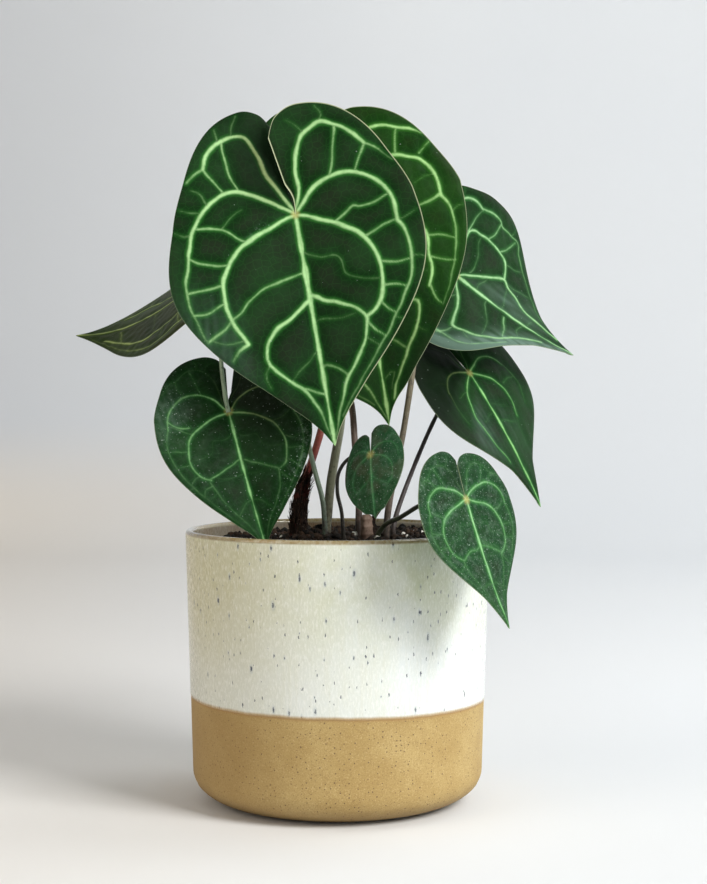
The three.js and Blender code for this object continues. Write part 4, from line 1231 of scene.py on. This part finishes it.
def stub_material():
    """Pinkish brown stem with darker scars, corky and matt."""
    material, tree, shader = new_material("stem_skin", Specular_IOR_Level=0.3)
    spot, _ = spot_and_flat(tree)
    patch = noise(tree, spot, 190.0, 4.0, 0.6)
    colour = mixed(tree, between(tree, patch, 0.35, 0.68), (0.2, 0.135, 0.1), (0.1, 0.06, 0.042))
    scar = between(tree, noise(tree, spot, 520.0, 3.0, 0.7), 0.56, 0.68, 0.0, 0.8)
    colour = mixed(tree, scar, colour, (0.06, 0.03, 0.02))
    dress(tree, shader, colour, between(tree, patch, 0.3, 0.7, 0.55, 0.8), patch, 0.6, 0.001)
    return material


def soil_material():
    """Potting mix: near-black to warm brown by the crumb and by fine noise, damp and
    matt, with a grainy bump."""
    material, tree, shader = new_material("potting_mix", Specular_IOR_Level=0.25)
    spot, _ = spot_and_flat(tree)
    crumb = held_value(tree, "shade")
    fine = noise(tree, spot, 700.0, 5.0, 0.7)
    broad = noise(tree, spot, 60.0, 3.0)
    share = sums(tree, "ADD", sums(tree, "MULTIPLY", crumb, 0.6), sums(tree, "MULTIPLY", fine, 0.5))
    share = sums(tree, "ADD", share, sums(tree, "MULTIPLY_ADD", broad, 0.5, -0.3))
    light = between(tree, share, 0.25, 1.0)
    colour = mixed(tree, light, (0.004, 0.003, 0.002), (0.05, 0.027, 0.015))
    dress(tree, shader, colour, between(tree, fine, 0.3, 0.7, 0.7, 0.95), fine, 0.9, 0.0012)
    return material


def perlite_material():
    """Perlite: off-white foamed glass, pitted, with a little soil on it."""
    material, tree, shader = new_material("perlite", Specular_IOR_Level=0.3)
    spot, _ = spot_and_flat(tree)
    stain = between(tree, noise(tree, spot, 500.0, 3.0, 0.65), 0.5, 0.75, 0.0, 0.7)
    colour = mixed(tree, stain, (0.78, 0.76, 0.7), (0.22, 0.15, 0.1))
    dress(tree, shader, colour, 0.9, noise(tree, spot, 1400.0, 3.0, 0.7), 0.8, 0.0005)
    return material


def pot_material(dots):
    """Cream speckled glaze over tan clay. The glaze ends at a slightly slanting, wavy
    line with an amber edge, breaks to amber on the lip, runs in faint streaks, and holds
    dark blue specks drawn out downwards. The bare clay has fine dark grains."""
    material, tree, shader = new_material("glazed_clay", Specular_IOR_Level=0.5,
                                          Coat_Roughness=0.06)
    spot, flat = spot_and_flat(tree)
    axes = node(tree, "ShaderNodeSeparateXYZ", {"Vector": spot}).outputs
    inner = held_value(tree, "inside")

    # Height above the lower edge of the glaze, in millimetres
    wavy = noise(tree, spot, 45.0, 3.0)
    line = sums(tree, "MULTIPLY_ADD", axes[0], GLAZE_TILT, GLAZE_LINE * MM)
    line = sums(tree, "MULTIPLY_ADD", wavy, 0.0016, sums(tree, "SUBTRACT", line, 0.0008))
    above = sums(tree, "MULTIPLY", sums(tree, "SUBTRACT", axes[2], line), 1000.0)
    glazed = between(tree, above, -0.25, 0.25)

    # Glaze: clouds, an olive tinge above that is partly painted shade, painted shade at the left,
    # streaks and milky runs
    streak = noise(tree, drawn_out(tree, flat, 1, 0.1), 0.35, 4.0, 0.6)
    cloud = noise(tree, spot, 22.0, 4.0, 0.6)
    glaze = mixed(tree, between(tree, cloud, 0.35, 0.68), GLAZE["cream"], GLAZE["clouded"])
    # Olive tinge on the upper wall: partly the glaze's own, partly painted shade under the leaves
    upper = between(tree, axes[2], 0.065, 0.12)
    upper = sums(tree, "MULTIPLY", upper, between(tree, cloud, 0.3, 0.6, 0.3, 0.85))
    glaze = mixed(tree, upper, glaze, GLAZE["upper"])
    # Painted shade: olive darkening on the left side, away from the key light
    olive_left_shade = sums(tree, "MULTIPLY", between(tree, axes[0], 0.01, -0.068),
                 between(tree, axes[2], 0.05, 0.11, 0.4, 0.8))
    glaze = mixed(tree, olive_left_shade, glaze, GLAZE["olive_left_shade"])
    glaze = mixed(tree, between(tree, streak, 0.42, 0.72, 0.0, 0.4), glaze, GLAZE["streak"])
    milky = noise(tree, drawn_out(tree, flat, 1, 0.3), 1.1, 4.0, 0.7)
    glaze = mixed(tree, between(tree, milky, 0.5, 0.72, 0.0, 0.6), glaze, GLAZE["milk"])

    # Specks, drawn out downwards, with a bluish bleed round the large ones
    ragged = stirred(tree, drawn_out(tree, flat, 1, 0.42), flat, 1.2)
    large, small, faint, bleed = (
        placed(tree, dots, {"Vector": ragged, "Cell": cell, "Radius": radius, "Keep": keep})
        for cell, radius, keep in
        ((6.4, 0.66, 0.5), (3.9, 0.45, 0.4), (3.1, 0.5, 0.35), (6.4, 1.35, 0.4))
    )
    glaze = mixed(tree, sums(tree, "MULTIPLY", faint["Mask"], 0.16), glaze, GLAZE["faint_speck"])
    glaze = mixed(tree, sums(tree, "MULTIPLY", bleed["Mask"], 0.3), glaze, GLAZE["bleed"])
    speck = sums(tree, "MAXIMUM", large["Mask"], small["Mask"])
    speck = sums(tree, "MULTIPLY", speck, sums(tree, "MULTIPLY_ADD", large["Shade"], 0.28, 0.72))
    glaze = mixed(tree, speck, glaze, GLAZE["speck"])

    # Amber at the lower edge and on the lip, and the darker brown inside
    amber_low = sums(tree, "SUBTRACT", 1.0, between(tree, above, 0.3, 1.9))
    glaze = mixed(tree, sums(tree, "MULTIPLY", amber_low, 0.9), glaze, GLAZE["amber"])
    lip_height = between(tree, axes[2], (POT_HEIGHT - 2.4) * MM, (POT_HEIGHT - 1.3) * MM)
    lip_break = between(tree, noise(tree, flat, 0.5, 3.0), 0.3, 0.7, 0.65, 1.0)
    lip = sums(tree, "MULTIPLY", lip_height, lip_break)
    glaze = mixed(tree, lip, glaze, GLAZE["lip"])
    inside_colour = mixed(tree, between(tree, cloud, 0.4, 0.65), GLAZE["inside"], GLAZE["inside_dark"])
    within = sums(tree, "MULTIPLY", inner, sums(tree, "SUBTRACT", 1.0, lip))
    glaze = mixed(tree, within, glaze, inside_colour)

    # Clay: pits, pale grains and dark flecks, painted shade at the left and at the foot, and darker
    # just under the glaze
    body = noise(tree, spot, 35.0, 4.0, 0.6)
    clay = mixed(tree, between(tree, body, 0.35, 0.68), CLAY["pale"], CLAY["tan"])
    grit = noise(tree, spot, 1600.0, 2.0, 0.7)
    clay = mixed(tree, between(tree, grit, 0.52, 0.68, 0.0, 0.6), clay, CLAY["pit"])
    clay = mixed(tree, between(tree, grit, 0.45, 0.28, 0.0, 0.4), clay, CLAY["grain"])
    flecks = placed(tree, dots, {"Vector": flat, "Cell": 2.3, "Radius": 0.5, "Keep": 0.42})
    clay = mixed(tree, sums(tree, "MULTIPLY", flecks["Mask"], 0.85), clay, CLAY["fleck"])
    # Painted shade on the left side, away from the key light
    clay = mixed(tree, between(tree, axes[0], 0.0, -0.07, 0.0, 0.5), clay, CLAY["warm_left_shade"])
    # Painted shade at the foot, next to the floor
    clay = mixed(tree, between(tree, axes[2], 0.013, 0.001, 0.0, 0.6), clay, CLAY["foot"])
    dark_edge = between(tree, above, -1.6, 0.2, 0.0, 0.7)
    clay = mixed(tree, dark_edge, clay, CLAY["under_glaze"])

    # Gloss on the glaze, tooth in the clay
    gloss = between(tree, milky, 0.3, 0.7, 0.2, 0.34)
    gloss = sums(tree, "SUBTRACT", gloss, sums(tree, "MULTIPLY", lip, 0.12))
    rough = sums(tree, "MULTIPLY_ADD", glazed, sums(tree, "SUBTRACT", gloss, 0.72), 0.72)
    coat = sums(tree, "MULTIPLY_ADD", lip, 0.55, 0.35)
    tree.links.new(sums(tree, "MULTIPLY", glazed, coat), shader.inputs["Coat Weight"])
    tooth = sums(tree, "MULTIPLY", grit, sums(tree, "SUBTRACT", 1.0, glazed))
    relief = sums(tree, "MULTIPLY", sums(tree, "MULTIPLY", streak, glazed), 0.7)
    relief = sums(tree, "MULTIPLY_ADD", tooth, 0.5, relief)
    relief = sums(tree, "SUBTRACT", relief, sums(tree, "MULTIPLY", speck, 0.25))
    dress(tree, shader, mixed(tree, glazed, clay, glaze), rough, relief, 0.35, 0.0006)
    return material


# Pot, soil and what stands in it

def inner_radius(z):
    """Radius of the inside of the pot at a height, with its rounded floor."""
    low = POT_LOW_RADIUS - POT_WALL
    rounding = np.clip((z - POT_FLOOR) / POT_INNER_ROUNDING, 0, 1)
    inset = (low - POT_FLOOR_RADIUS) * (1 - np.sqrt(1 - (1 - rounding) ** 2))
    climb = np.clip((z - POT_ROUNDING) / (POT_HEIGHT - POT_ROUNDING), 0, 1)
    return low + (POT_RADIUS - POT_LOW_RADIUS) * climb - inset


def pot_parts():
    """Turned pot: a profile of radius and height carried round the axis. It runs from the
    middle of the underside out, up the wall, over the round lip, down inside and across
    the floor. The wall is out of round by about a tenth of a millimetre, and the bare
    clay lies back from the glaze by GLAZE_STEP."""
    sides = 288
    turn = np.arange(sides) / sides * 2 * np.pi + np.pi / 2
    lip_middle = POT_HEIGHT - POT_WALL / 2
    foot = np.stack([np.linspace(2, POT_FOOT_RADIUS, 14), np.zeros(14)], -1)
    quarter = np.linspace(0, np.pi / 2, 22)[1:]
    rounding = np.stack([
        POT_FOOT_RADIUS + (POT_LOW_RADIUS - POT_FOOT_RADIUS) * np.sin(quarter),
        POT_ROUNDING * (1 - np.cos(quarter)),
    ], -1)
    heights = np.concatenate([
        np.linspace(POT_ROUNDING, GLAZE_LINE - 3, 22)[1:],
        np.linspace(GLAZE_LINE - 3, GLAZE_LINE + 3, 26)[1:],
        np.linspace(GLAZE_LINE + 3, lip_middle, 44)[1:],
    ])
    climb = (heights - POT_ROUNDING) / (lip_middle - POT_ROUNDING)
    wall = np.stack([POT_LOW_RADIUS + (POT_RADIUS - POT_LOW_RADIUS) * climb, heights], -1)
    arc = np.linspace(0, np.pi, 20)[1:]
    lip = np.stack([
        POT_RADIUS - POT_WALL / 2 + POT_WALL / 2 * np.cos(arc),
        lip_middle + POT_WALL / 2 * np.sin(arc),
    ], -1)
    down = np.concatenate([
        np.linspace(lip_middle, POT_FLOOR + POT_INNER_ROUNDING, 30)[1:],
        POT_FLOOR + POT_INNER_ROUNDING * (1 - np.linspace(0, 1, 12)[1:]),
    ])
    inside = np.stack([inner_radius(down), down], -1)
    floor = np.stack([np.linspace(POT_FLOOR_RADIUS, 3, 10)[1:], np.full(9, POT_FLOOR)], -1)
    profile = np.vstack([foot, rounding, wall, lip, inside, floor])
    rows, count = len(profile), len(profile) * sides
    radius = np.repeat(profile[:, :1], sides, axis=1)
    z = np.repeat(profile[:, 1:], sides, axis=1)
    x, y = radius * np.cos(turn), radius * np.sin(turn)
    past_wall = np.arange(rows) - len(foot) - len(rounding) - len(wall)
    outer = past_wall[:, None] < 0
    line = GLAZE_LINE + GLAZE_TILT * x
    proud = GLAZE_STEP * (smooth((z - line + 0.4) / 0.8) - 1) * outer * (z > 10)
    hand = ripple(np.stack([x, y, z * 0.5], -1), 70, 3) * 0.12 * smooth(z / 20)
    radius = radius + proud + hand * (z > 1)
    x, y = radius * np.cos(turn), radius * np.sin(turn)
    points = np.vstack([np.stack([x, y, z], -1).reshape(-1, 3), [[0, 0, 0], [0, 0, POT_FLOOR]]])
    faces = [
        grid_faces(rows, sides, True),
        fan(count, np.arange(sides), flip=True),
        fan(count + 1, count - sides + np.arange(sides)),
    ]
    within = np.repeat(smooth((past_wall - 10) / 6), sides)
    around = np.tile((turn - np.pi / 2) * POT_RADIUS, rows)
    height = np.repeat(profile[:, 1] + np.where(profile[:, 1] < 0.1, profile[:, 0], 0), sides)
    uv = np.vstack([np.stack([around, height], -1), [[0, 0], [0, 0]]])
    return points, faces, [("inside", np.append(within, [0, 1]))], uv


def soil_height(x, y):
    """Height of the soil: it falls to the left and the front, with mounds at the stems."""
    height = SOIL_LEVEL + SOIL_TILT[0] * x + SOIL_TILT[1] * y
    for (mx, my), rise, spread in SOIL_MOUNDS:
        height = height + rise * np.exp(-((x - mx) ** 2 + (y - my) ** 2) / spread**2)
    crumb = np.sin(x * 0.43 + 1) * np.sin(y * 0.51) + np.sin(x * 0.21 - y * 0.33)
    return height + 0.5 * crumb


def soil_parts():
    """Top of the soil on rings round the axis, lifted and pitted by noise of three sizes,
    turned down at the wall, and closed by a plain underside that the pot hides."""
    rings, sides = 84, 260
    rim = inner_radius(SOIL_LEVEL) - SOIL_GAP
    reach = np.sqrt(np.linspace(0.0004, 1, rings))[:, None] * rim
    turn = np.arange(sides) / sides * 2 * np.pi
    x, y = reach * np.cos(turn), reach * np.sin(turn)
    spot = np.stack([x, y], -1)
    z = soil_height(x, y)
    lump = ripple(spot, 9, 21) * 0.5 + ripple(spot, 4, 22) * 0.4 + ripple(spot, 2, 23) * 0.22
    z = z + lump - 0.35 - 1.2 * smooth((reach / rim - 0.97) / 0.03)
    top = np.stack([x, y, z], -1)
    low_z = np.full((2, sides), float(SOIL_UNDERSIDE))
    low_r = np.array([rim - 0.4, 2.0])[:, None]
    low = np.stack([low_r * np.cos(turn), low_r * np.sin(turn), low_z], -1)
    points = np.vstack([top.reshape(-1, 3), low.reshape(-1, 3),
                        [[0, 0, float(z[0].mean())], [0, 0, SOIL_UNDERSIDE]]])
    rows, count = rings + 2, (rings + 2) * sides
    faces = [
        grid_faces(rows, sides, True, flip=True),
        fan(count, np.arange(sides)),
        fan(count + 1, count - sides + np.arange(sides), flip=True),
    ]
    shade = np.concatenate([(lump * 0.4 + 0.25).ravel(), np.zeros(2 * sides + 2)])
    return points, faces, shade


def ball(detail):
    """Points and triangles of a ball: a twenty-faced solid, each face cut in four as
    often as asked."""
    g = (1 + 5**0.5) / 2
    points = [(-1, g, 0), (1, g, 0), (-1, -g, 0), (1, -g, 0), (0, -1, g), (0, 1, g),
              (0, -1, -g), (0, 1, -g), (g, 0, -1), (g, 0, 1), (-g, 0, -1), (-g, 0, 1)]
    tris = [(0, 11, 5), (0, 5, 1), (0, 1, 7), (0, 7, 10), (0, 10, 11), (1, 5, 9), (5, 11, 4),
            (11, 10, 2), (10, 7, 6), (7, 1, 8), (3, 9, 4), (3, 4, 2), (3, 2, 6), (3, 6, 8),
            (3, 8, 9), (4, 9, 5), (2, 4, 11), (6, 2, 10), (8, 6, 7), (9, 8, 1)]
    points = [Vector(p).normalized() for p in points]
    for _ in range(detail):
        halves, cut = {}, []
        for a, b, c in tris:
            mids = []
            for i, j in ((a, b), (b, c), (c, a)):
                key = (min(i, j), max(i, j))
                if key not in halves:
                    halves[key] = len(points)
                    points.append((points[i] + points[j]).normalized())
                mids.append(halves[key])
            ab, bc, ca = mids
            cut += [(a, ab, ca), (b, bc, ab), (c, ca, bc), (ab, bc, ca)]
        tris = cut
    return np.array(points), np.array(tris)


def lumps(places, sizes, detail, seed):
    """Many rough stones: the ball's points, each pushed in or out at random, turned at
    random, scaled to size and set in place, all as one set of points and triangles."""
    rng = np.random.default_rng(seed)
    points, tris = ball(detail)
    count, corners = len(places), len(points)
    reach = 1 + rng.uniform(-0.28, 0.28, (count, corners, 1))
    stretch = rng.uniform(0.7, 1.25, (count, 1, 3))
    turn = rng.normal(size=(count, 3, 3))
    turn, _ = np.linalg.qr(turn)
    turn[np.linalg.det(turn) < 0, 0] *= -1
    shaped = np.einsum("nij,npj->npi", turn, points[None] * reach * stretch)
    shaped = shaped * np.asarray(sizes)[:, None, None] + np.asarray(places)[:, None]
    index = (np.arange(count)[:, None, None] * corners + tris[None]).reshape(-1, 3)
    shade = np.repeat(rng.uniform(0, 1, count), corners)
    return shaped.reshape(-1, 3), [index], shade


def clear_of_stems(x, y, extra):
    """True where a place on the soil is clear of every petiole, stub and shoot."""
    feet = [(p["foot"], p["radius"][0]) for p in PETIOLES.values()]
    feet += [(PETIOLES["rear"]["foot"], 4.6), (STUB_AT, 3.3), (SHOOT_FOOT, 1.5)]
    free = np.ones(len(x), bool)
    for (fx, fy), radius in feet:
        free &= np.hypot(x - fx, y - fy) > radius + extra
    return free


def scattered(count, seed, sizes, raised):
    """Seeded places on the soil with sizes, clear of the stems and of the wall. The middle
    of a grain lies above the soil by a share of its size."""
    rng = np.random.default_rng(seed)
    reach = np.sqrt(rng.uniform(0, 1, count)) * (inner_radius(SOIL_LEVEL) - 2.6)
    turn = rng.uniform(0, 2 * np.pi, count)
    x, y = reach * np.cos(turn), reach * np.sin(turn)
    size = sizes[0] + (sizes[1] - sizes[0]) * rng.uniform(0, 1, count) ** 2.2
    free = clear_of_stems(x, y, 0.4 + size.max())
    x, y, size = x[free], y[free], size[free]
    return np.stack([x, y, soil_height(x, y) + size * raised], -1), size


def petiole_path(name, step=1.2):
    """Way of a petiole from below the soil to its blade, as the solid has it, with its
    end carried on through the gap into the blade."""
    given, leaf = PETIOLES[name], LEAVES[name]
    ground = float(soil_height(*given["foot"]))
    foot = np.array([*given["foot"], ground])
    if given.get("over"):
        arrival, end = on_leaf(leaf, 0.5, 3.0, -7), on_leaf(leaf, 0, 0.9, 0.6)
    else:
        arrival, end = on_leaf(leaf, 0, -6, -1), on_leaf(leaf, 0, -0.4, 0)
    rise = [foot + [0, 0, 2.5], *given["way"], arrival, end]
    path = centripetal_path(rise, step)
    buried = np.linspace(foot - [0, 0, 9], path[0], 9)[:-1]
    return np.vstack([buried, path])


def petiole_parts(name):
    """Round stem on the petiole's way. It thins from foot to blade, swells in a collar
    just below the blade, has a shallow groove, and wavers a little in girth."""
    path = petiole_path(name)
    low, middle, high = PETIOLES[name]["radius"]
    run = np.concatenate([[0], np.cumsum(np.linalg.norm(np.diff(path, axis=0), axis=1))])
    share = run / run[-1]
    slim = np.where(share < 0.5, low + (middle - low) * smooth(share * 2),
                    middle + (high - middle) * smooth(share * 2 - 1))
    from_end = run[-1] - run
    collar = 0.22 * np.exp(-((from_end - 7) / 3.2) ** 2) + 0.3 * smooth(1 - from_end / 2.5)
    girth = slim * (1 + collar) + ripple(path, 11, 5) * 0.04
    girth = girth * np.where(share < 0.04, 1.12, 1)
    sides = 20
    turn = np.arange(sides) / sides * 2 * np.pi
    groove = 1 - 0.1 * np.exp(-(((turn - np.pi / 2 + np.pi) % (2 * np.pi) - np.pi) / 0.5) ** 2)
    points, faces = tube(path, girth[:, None] * groove, sides)
    along = np.concatenate([np.repeat(share, sides), [0, 1]])
    uv = np.stack([
        np.concatenate([np.tile(turn * middle, len(path)), [0, 0]]),
        np.concatenate([np.repeat(run, sides), [0, run[-1]]]),
    ], -1)
    return points, faces, [("along", along)], uv


def sheath_parts():
    """Torn brown sleeve round the foot of the rear petiole: three open shells, one over
    another, whose fibres stand up as ridges and whose tops end in ragged points, with
    loose strands that peel away from it."""
    path = petiole_path("rear", 0.8)
    foot = PETIOLES["rear"]["foot"]
    ground = float(soil_height(*foot))
    petiole = PETIOLES["rear"]["radius"][0]
    rng = np.random.default_rng(11)
    parts, flats = [], []

    def centre(z):
        return np.stack([np.interp(z, path[:, 2], path[:, 0]),
                         np.interp(z, path[:, 2], path[:, 1]), z], -1)

    rows, sides = 60, 72
    count, last, end = rows * sides, sides - 1, (rows - 1) * sides
    i, k = np.arange(rows - 1), np.arange(sides - 1)
    for layer, (top, near, thick, opening) in enumerate(SHEATH_LAYERS):
        t = np.linspace(0, 1, rows)[:, None]
        s = np.linspace(0, 1, sides)[None]
        open_angle = math.radians(opening)
        face_angle = math.pi / 2 + layer * 0.9
        angle = face_angle + open_angle / 2 + s * (2 * np.pi - open_angle)
        teeth = np.abs((s * 9.3 + layer * 0.37) % 1 - 0.5) * 2
        torn = t**2 * (5 * teeth - 2.5 + 2.5 * np.sin(s * 31 + layer) + 1.5 * np.sin(s * 70))
        z = ground - 3 + t * (top - 1) + torn
        z = np.minimum(z, ground + SHEATH_TOP + 1.5)
        fibre = np.sin(s * 96 + 2.2 * np.sin(t * 5 + layer)) * 0.16 + np.sin(s * 41 + t * 3) * 0.14
        fibre = fibre + ripple(np.stack([s * 16 + 0 * t, t * 30 + 0 * s], -1), 5, layer) * 0.28
        flare = (1 - t) ** 1.5 * 1.3 + 0.25 * np.sin(t * 9 + s * 6 + layer) * t
        inner = petiole * 1.05 + near + flare * (0.45 + 0.3 * layer)
        skin = []
        for out in (0, thick):
            r = inner + out + (fibre if out else 0) - (0.5 * thick * t**4 if out else 0)
            spine = centre(z)
            skin.append(spine + np.stack([r * np.cos(angle), r * np.sin(angle), 0 * z], -1))
        points = np.vstack([skin[1].reshape(-1, 3), skin[0].reshape(-1, 3)])
        faces = [
            grid_faces(rows, sides, False),
            grid_faces(rows, sides, False, start=count, flip=True),
            np.stack([i * sides, (i + 1) * sides, (i + 1) * sides + count, i * sides + count], -1),
            np.stack([i * sides + last + count, (i + 1) * sides + last + count,
                      (i + 1) * sides + last, i * sides + last], -1),
            np.stack([k + count, k + 1 + count, k + 1, k], -1),
            np.stack([end + k, end + k + 1, end + k + 1 + count, end + k + count], -1),
        ]
        flat = np.stack([np.broadcast_to(s * 16, (rows, sides)), z - ground], -1).reshape(-1, 2)
        parts.append((points, faces))
        flats.append(np.vstack([flat, flat]))

    for _ in range(90):
        start = rng.uniform(2, SHEATH_TOP - 7)
        length = rng.uniform(4, 11)
        turn = rng.uniform(0, 2 * np.pi)
        t = np.linspace(0, 1, 8)
        z = ground + start + t * length * rng.uniform(0.5, 0.9)
        z = np.minimum(z, ground + SHEATH_TOP + 3)
        r = petiole + 1.2 + 1.6 * (1 - start / SHEATH_TOP) + t**1.6 * rng.uniform(0.2, 2.2)
        bend = turn + t * rng.uniform(-0.7, 0.7)
        way = centre(z) + np.stack([r * np.cos(bend), r * np.sin(bend), 0 * t], -1)
        points, faces = tube(way, rng.uniform(0.16, 0.34) * (1 - t * 0.75), 5)
        parts.append((points, faces))
        flats.append(np.stack([np.full(len(points), turn * 3), points[:, 2] - ground], -1))
    points, faces = joined(parts)
    return points, faces, np.vstack(flats)


def stub_parts():
    """Short stem stub: a round bar with rings where leaves once sat, a waist between
    them, and a dry uneven top."""
    ground = float(soil_height(*STUB_AT))
    z = np.linspace(ground - 8, STUB_TOP - 0.3, 60)
    t = (z - ground) / (STUB_TOP - ground)
    path = np.stack([STUB_AT[0] - 0.4 * np.maximum(0, t), np.full(60, float(STUB_AT[1])), z], -1)
    rings = 0.08 * np.abs(np.sin(t * 10)) ** 6
    top = np.sqrt(np.clip(1 - np.clip((t - 0.86) / 0.14, 0, 1) ** 2, 0.05, 1))
    sides = 32
    turn = np.arange(sides) / sides * 2 * np.pi
    radius = (STUB_RADIUS * (1 + rings - 0.1 * t) * top)[:, None] * (
        1 + 0.05 * np.sin(turn * 3 + 1) + 0.03 * np.sin(turn * 7 + t[:, None] * 3))
    return tube(path, radius, sides)


def shoot_parts():
    """Young shoot: a tapering bent tube, almost closed to a point, with a step in its girth
    where its lower scale ends."""
    ground = float(soil_height(*SHOOT_FOOT))
    foot = np.array([*SHOOT_FOOT, ground])
    path = centripetal_path([foot - [0, 0, 5], foot + [0, 0, 1], *SHOOT_WAY], 0.5)
    t = np.linspace(0, 1, len(path))
    girth = np.interp(t, [0, 0.25, 0.6, 0.85, 1], [1.5, 1.5, 1.3, 0.85, 0.25])
    girth = girth * (1 - 0.1 * smooth((t - 0.45) / 0.04) * smooth(1 - (t - 0.5) / 0.3))
    return tube(path, girth, 16)


# Stage

def make_stage():
    """Pale floor that curves up all round into a wall, on rings round the axis. Its colour
    holds painted shade far to the left, painted warm bounce light where that is low, and a
    little painted shade near the front on the right."""
    turn = np.arange(96) / 96 * 2 * np.pi
    curve = np.linspace(0, np.pi / 2, 24)
    radius = np.concatenate([[0.02, 0.3, 0.8], 1.35 + 0.9 * np.sin(curve), [2.25]])
    height = np.concatenate([[0, 0, 0], 0.9 * (1 - np.cos(curve)), [3.2]])
    x = radius[:, None] * np.cos(turn)
    y = radius[:, None] * np.sin(turn)
    z = np.repeat(height[:, None], len(turn), axis=1)
    points = np.stack([x, y, z], -1).reshape(-1, 3)
    mesh = bpy.data.meshes.new("pale_sweep")
    faces = grid_faces(len(radius), len(turn), True, flip=True).tolist()
    mesh.from_pydata(points.tolist(), [], faces + [list(range(len(turn)))])
    mesh.polygons.foreach_set("use_smooth", np.ones(len(mesh.polygons), bool))
    material, tree, shader = new_material("pale_paper", Specular_IOR_Level=0.2, Roughness=0.85)
    spot, _ = spot_and_flat(tree)
    tone = noise(tree, spot, 1.2, 2.0)
    shade = mixed(tree, between(tree, tone, 0.3, 0.7), (0.825, 0.845, 0.865), (0.85, 0.865, 0.875))
    axes = node(tree, "ShaderNodeSeparateXYZ", {"Vector": spot}).outputs
    # Painted shade far to the left, away from the key light
    left = between(tree, axes[0], 0.25, -0.9)
    shade = mixed(tree, left, shade, (0.625, 0.632, 0.645))
    # Painted warm bounce light on the floor at the left
    low = between(tree, axes[2], 0.17, 0.03)
    shade = mixed(tree, sums(tree, "MULTIPLY", left, low), shade, (0.87, 0.78, 0.665))
    # Painted shade on the floor near the front on the right, where the key falls brightest
    near = sums(tree, "MULTIPLY", between(tree, axes[1], 0.35, -0.15),
                between(tree, axes[0], -0.1, 0.15))
    shade = mixed(tree, near, shade, (0.755, 0.77, 0.785))
    tree.links.new(shade, shader.inputs["Base Color"])
    mesh.materials.append(material)
    sweep = bpy.data.objects.new("pale_sweep", mesh)
    bpy.context.scene.collection.objects.link(sweep)


def add_light(name, place, aim, size, power, colour):
    """Square soft light at a place, aimed at a point."""
    data = bpy.data.lights.new(name, "AREA")
    data.shape = "SQUARE"
    data.size = size
    data.energy = power
    data.color = colour
    lamp = bpy.data.objects.new(name, data)
    lamp.location = place
    lamp.rotation_euler = (Vector(aim) - Vector(place)).to_track_quat("-Z", "Y").to_euler()
    lamp.visible_camera = False
    bpy.context.scene.collection.objects.link(lamp)


def light_and_camera():
    """Soft key from the right and front, weak fill from the left, a lift for the floor at
    the left, a wash for the wall, an even surround, and the camera level with the leaves."""
    add_light("key", (1.2, -0.95, 1.15), (0, 0, 0.17), 0.78, 34.5, (1, 0.995, 0.975))
    add_light("fill", (-1.3, -0.7, 0.9), (-0.3, 0, 0.0), 1.0, 4.8, (1, 0.86, 0.67))
    add_light("floor_lift", (-0.26, -0.12, 0.62), (-0.14, -0.02, 0), 0.3, 0.3, (1, 0.9, 0.78))
    add_light("wall_wash", (1.3, 0.5, 1.9), (1.1, 2.0, 0.4), 1.2, 17, (0.95, 0.98, 1))
    world = bpy.data.worlds.new("surround")
    world.use_nodes = True
    background = world.node_tree.nodes["Background"].inputs
    background["Color"].default_value = (0.9, 0.94, 1, 1)
    background["Strength"].default_value = 0.13
    bpy.context.scene.world = world
    bpy.context.scene.view_settings.view_transform = "Standard"

    data = bpy.data.cameras.new("camera")
    data.lens = CAMERA_LENS
    data.sensor_width = 36
    data.clip_end = 20
    data.dof.use_dof = False
    camera = bpy.data.objects.new("camera", data)
    camera.location = CAMERA_AT
    camera.rotation_euler = Euler((math.radians(90 - CAMERA_DOWN), 0, 0))
    bpy.context.scene.collection.objects.link(camera)
    bpy.context.scene.camera = camera


# Build

light_and_camera()
make_stage()

dots = dots_effect()
markings = leaf_effect(dots)
for number, name in enumerate(LEAVES):
    look = {**GREEN, **BLADE_LOOKS[name]}
    material = blade_material(f"blade_{name}_skin", markings, look.pop("sheen"), **look)
    points, faces, values, uv = blade_parts(name, 40 + number * 5)
    make_piece(f"leaf_{name}", points, faces, material, [f"blade_{name}"], values, uv)

stem_markings = stem_effect()
for name in PETIOLES:
    low, high = PETIOLES[name]["colours"]
    points, faces, values, uv = petiole_parts(name)
    material = petiole_material(f"petiole_{name}_skin", stem_markings, low, high)
    make_piece(f"stem_{name}", points, faces, material, [f"petiole_{name}"], values, uv)

husk = husk_material()
points, faces, flat = sheath_parts()
make_piece("torn_sheath", points, faces, husk, ["bud_scale"], uv=flat)
points, faces = shoot_parts()
shoot_flat = np.stack([points[:, 0] * 2, points[:, 2]], -1)
make_piece("shoot", points, faces, husk, ["young_shoot"], uv=shoot_flat)
points, faces = stub_parts()
make_piece("rhizome_stub", points, faces, stub_material(), ["stem_stub"])

mix = soil_material()
points, faces, shade = soil_parts()
make_piece("mix_surface", points, faces, mix, ["soil"], [("shade", shade)])
places, sizes = scattered(3400, 31, (0.45, 2.1), 0.25)
points, faces, shade = lumps(places, sizes, 0, 32)
make_piece("mix_crumbs", points, faces, mix, values=[("shade", shade)])
places, sizes = scattered(60, 33, (0.5, 1.5), 0.3)
in_sight = [(x, y, soil_height(x, y) + size * 0.5) for x, y, size in PERLITE_IN_SIGHT]
places = np.vstack([in_sight, places])
sizes = np.concatenate([[size for _, _, size in PERLITE_IN_SIGHT], sizes])
points, faces, shade = lumps(places, sizes, 1, 34)
make_piece("perlite_grains", points, faces, perlite_material())

points, faces, values, uv = pot_parts()
make_piece("pot_body", points, faces, pot_material(dots), ["pot"], values, uv)
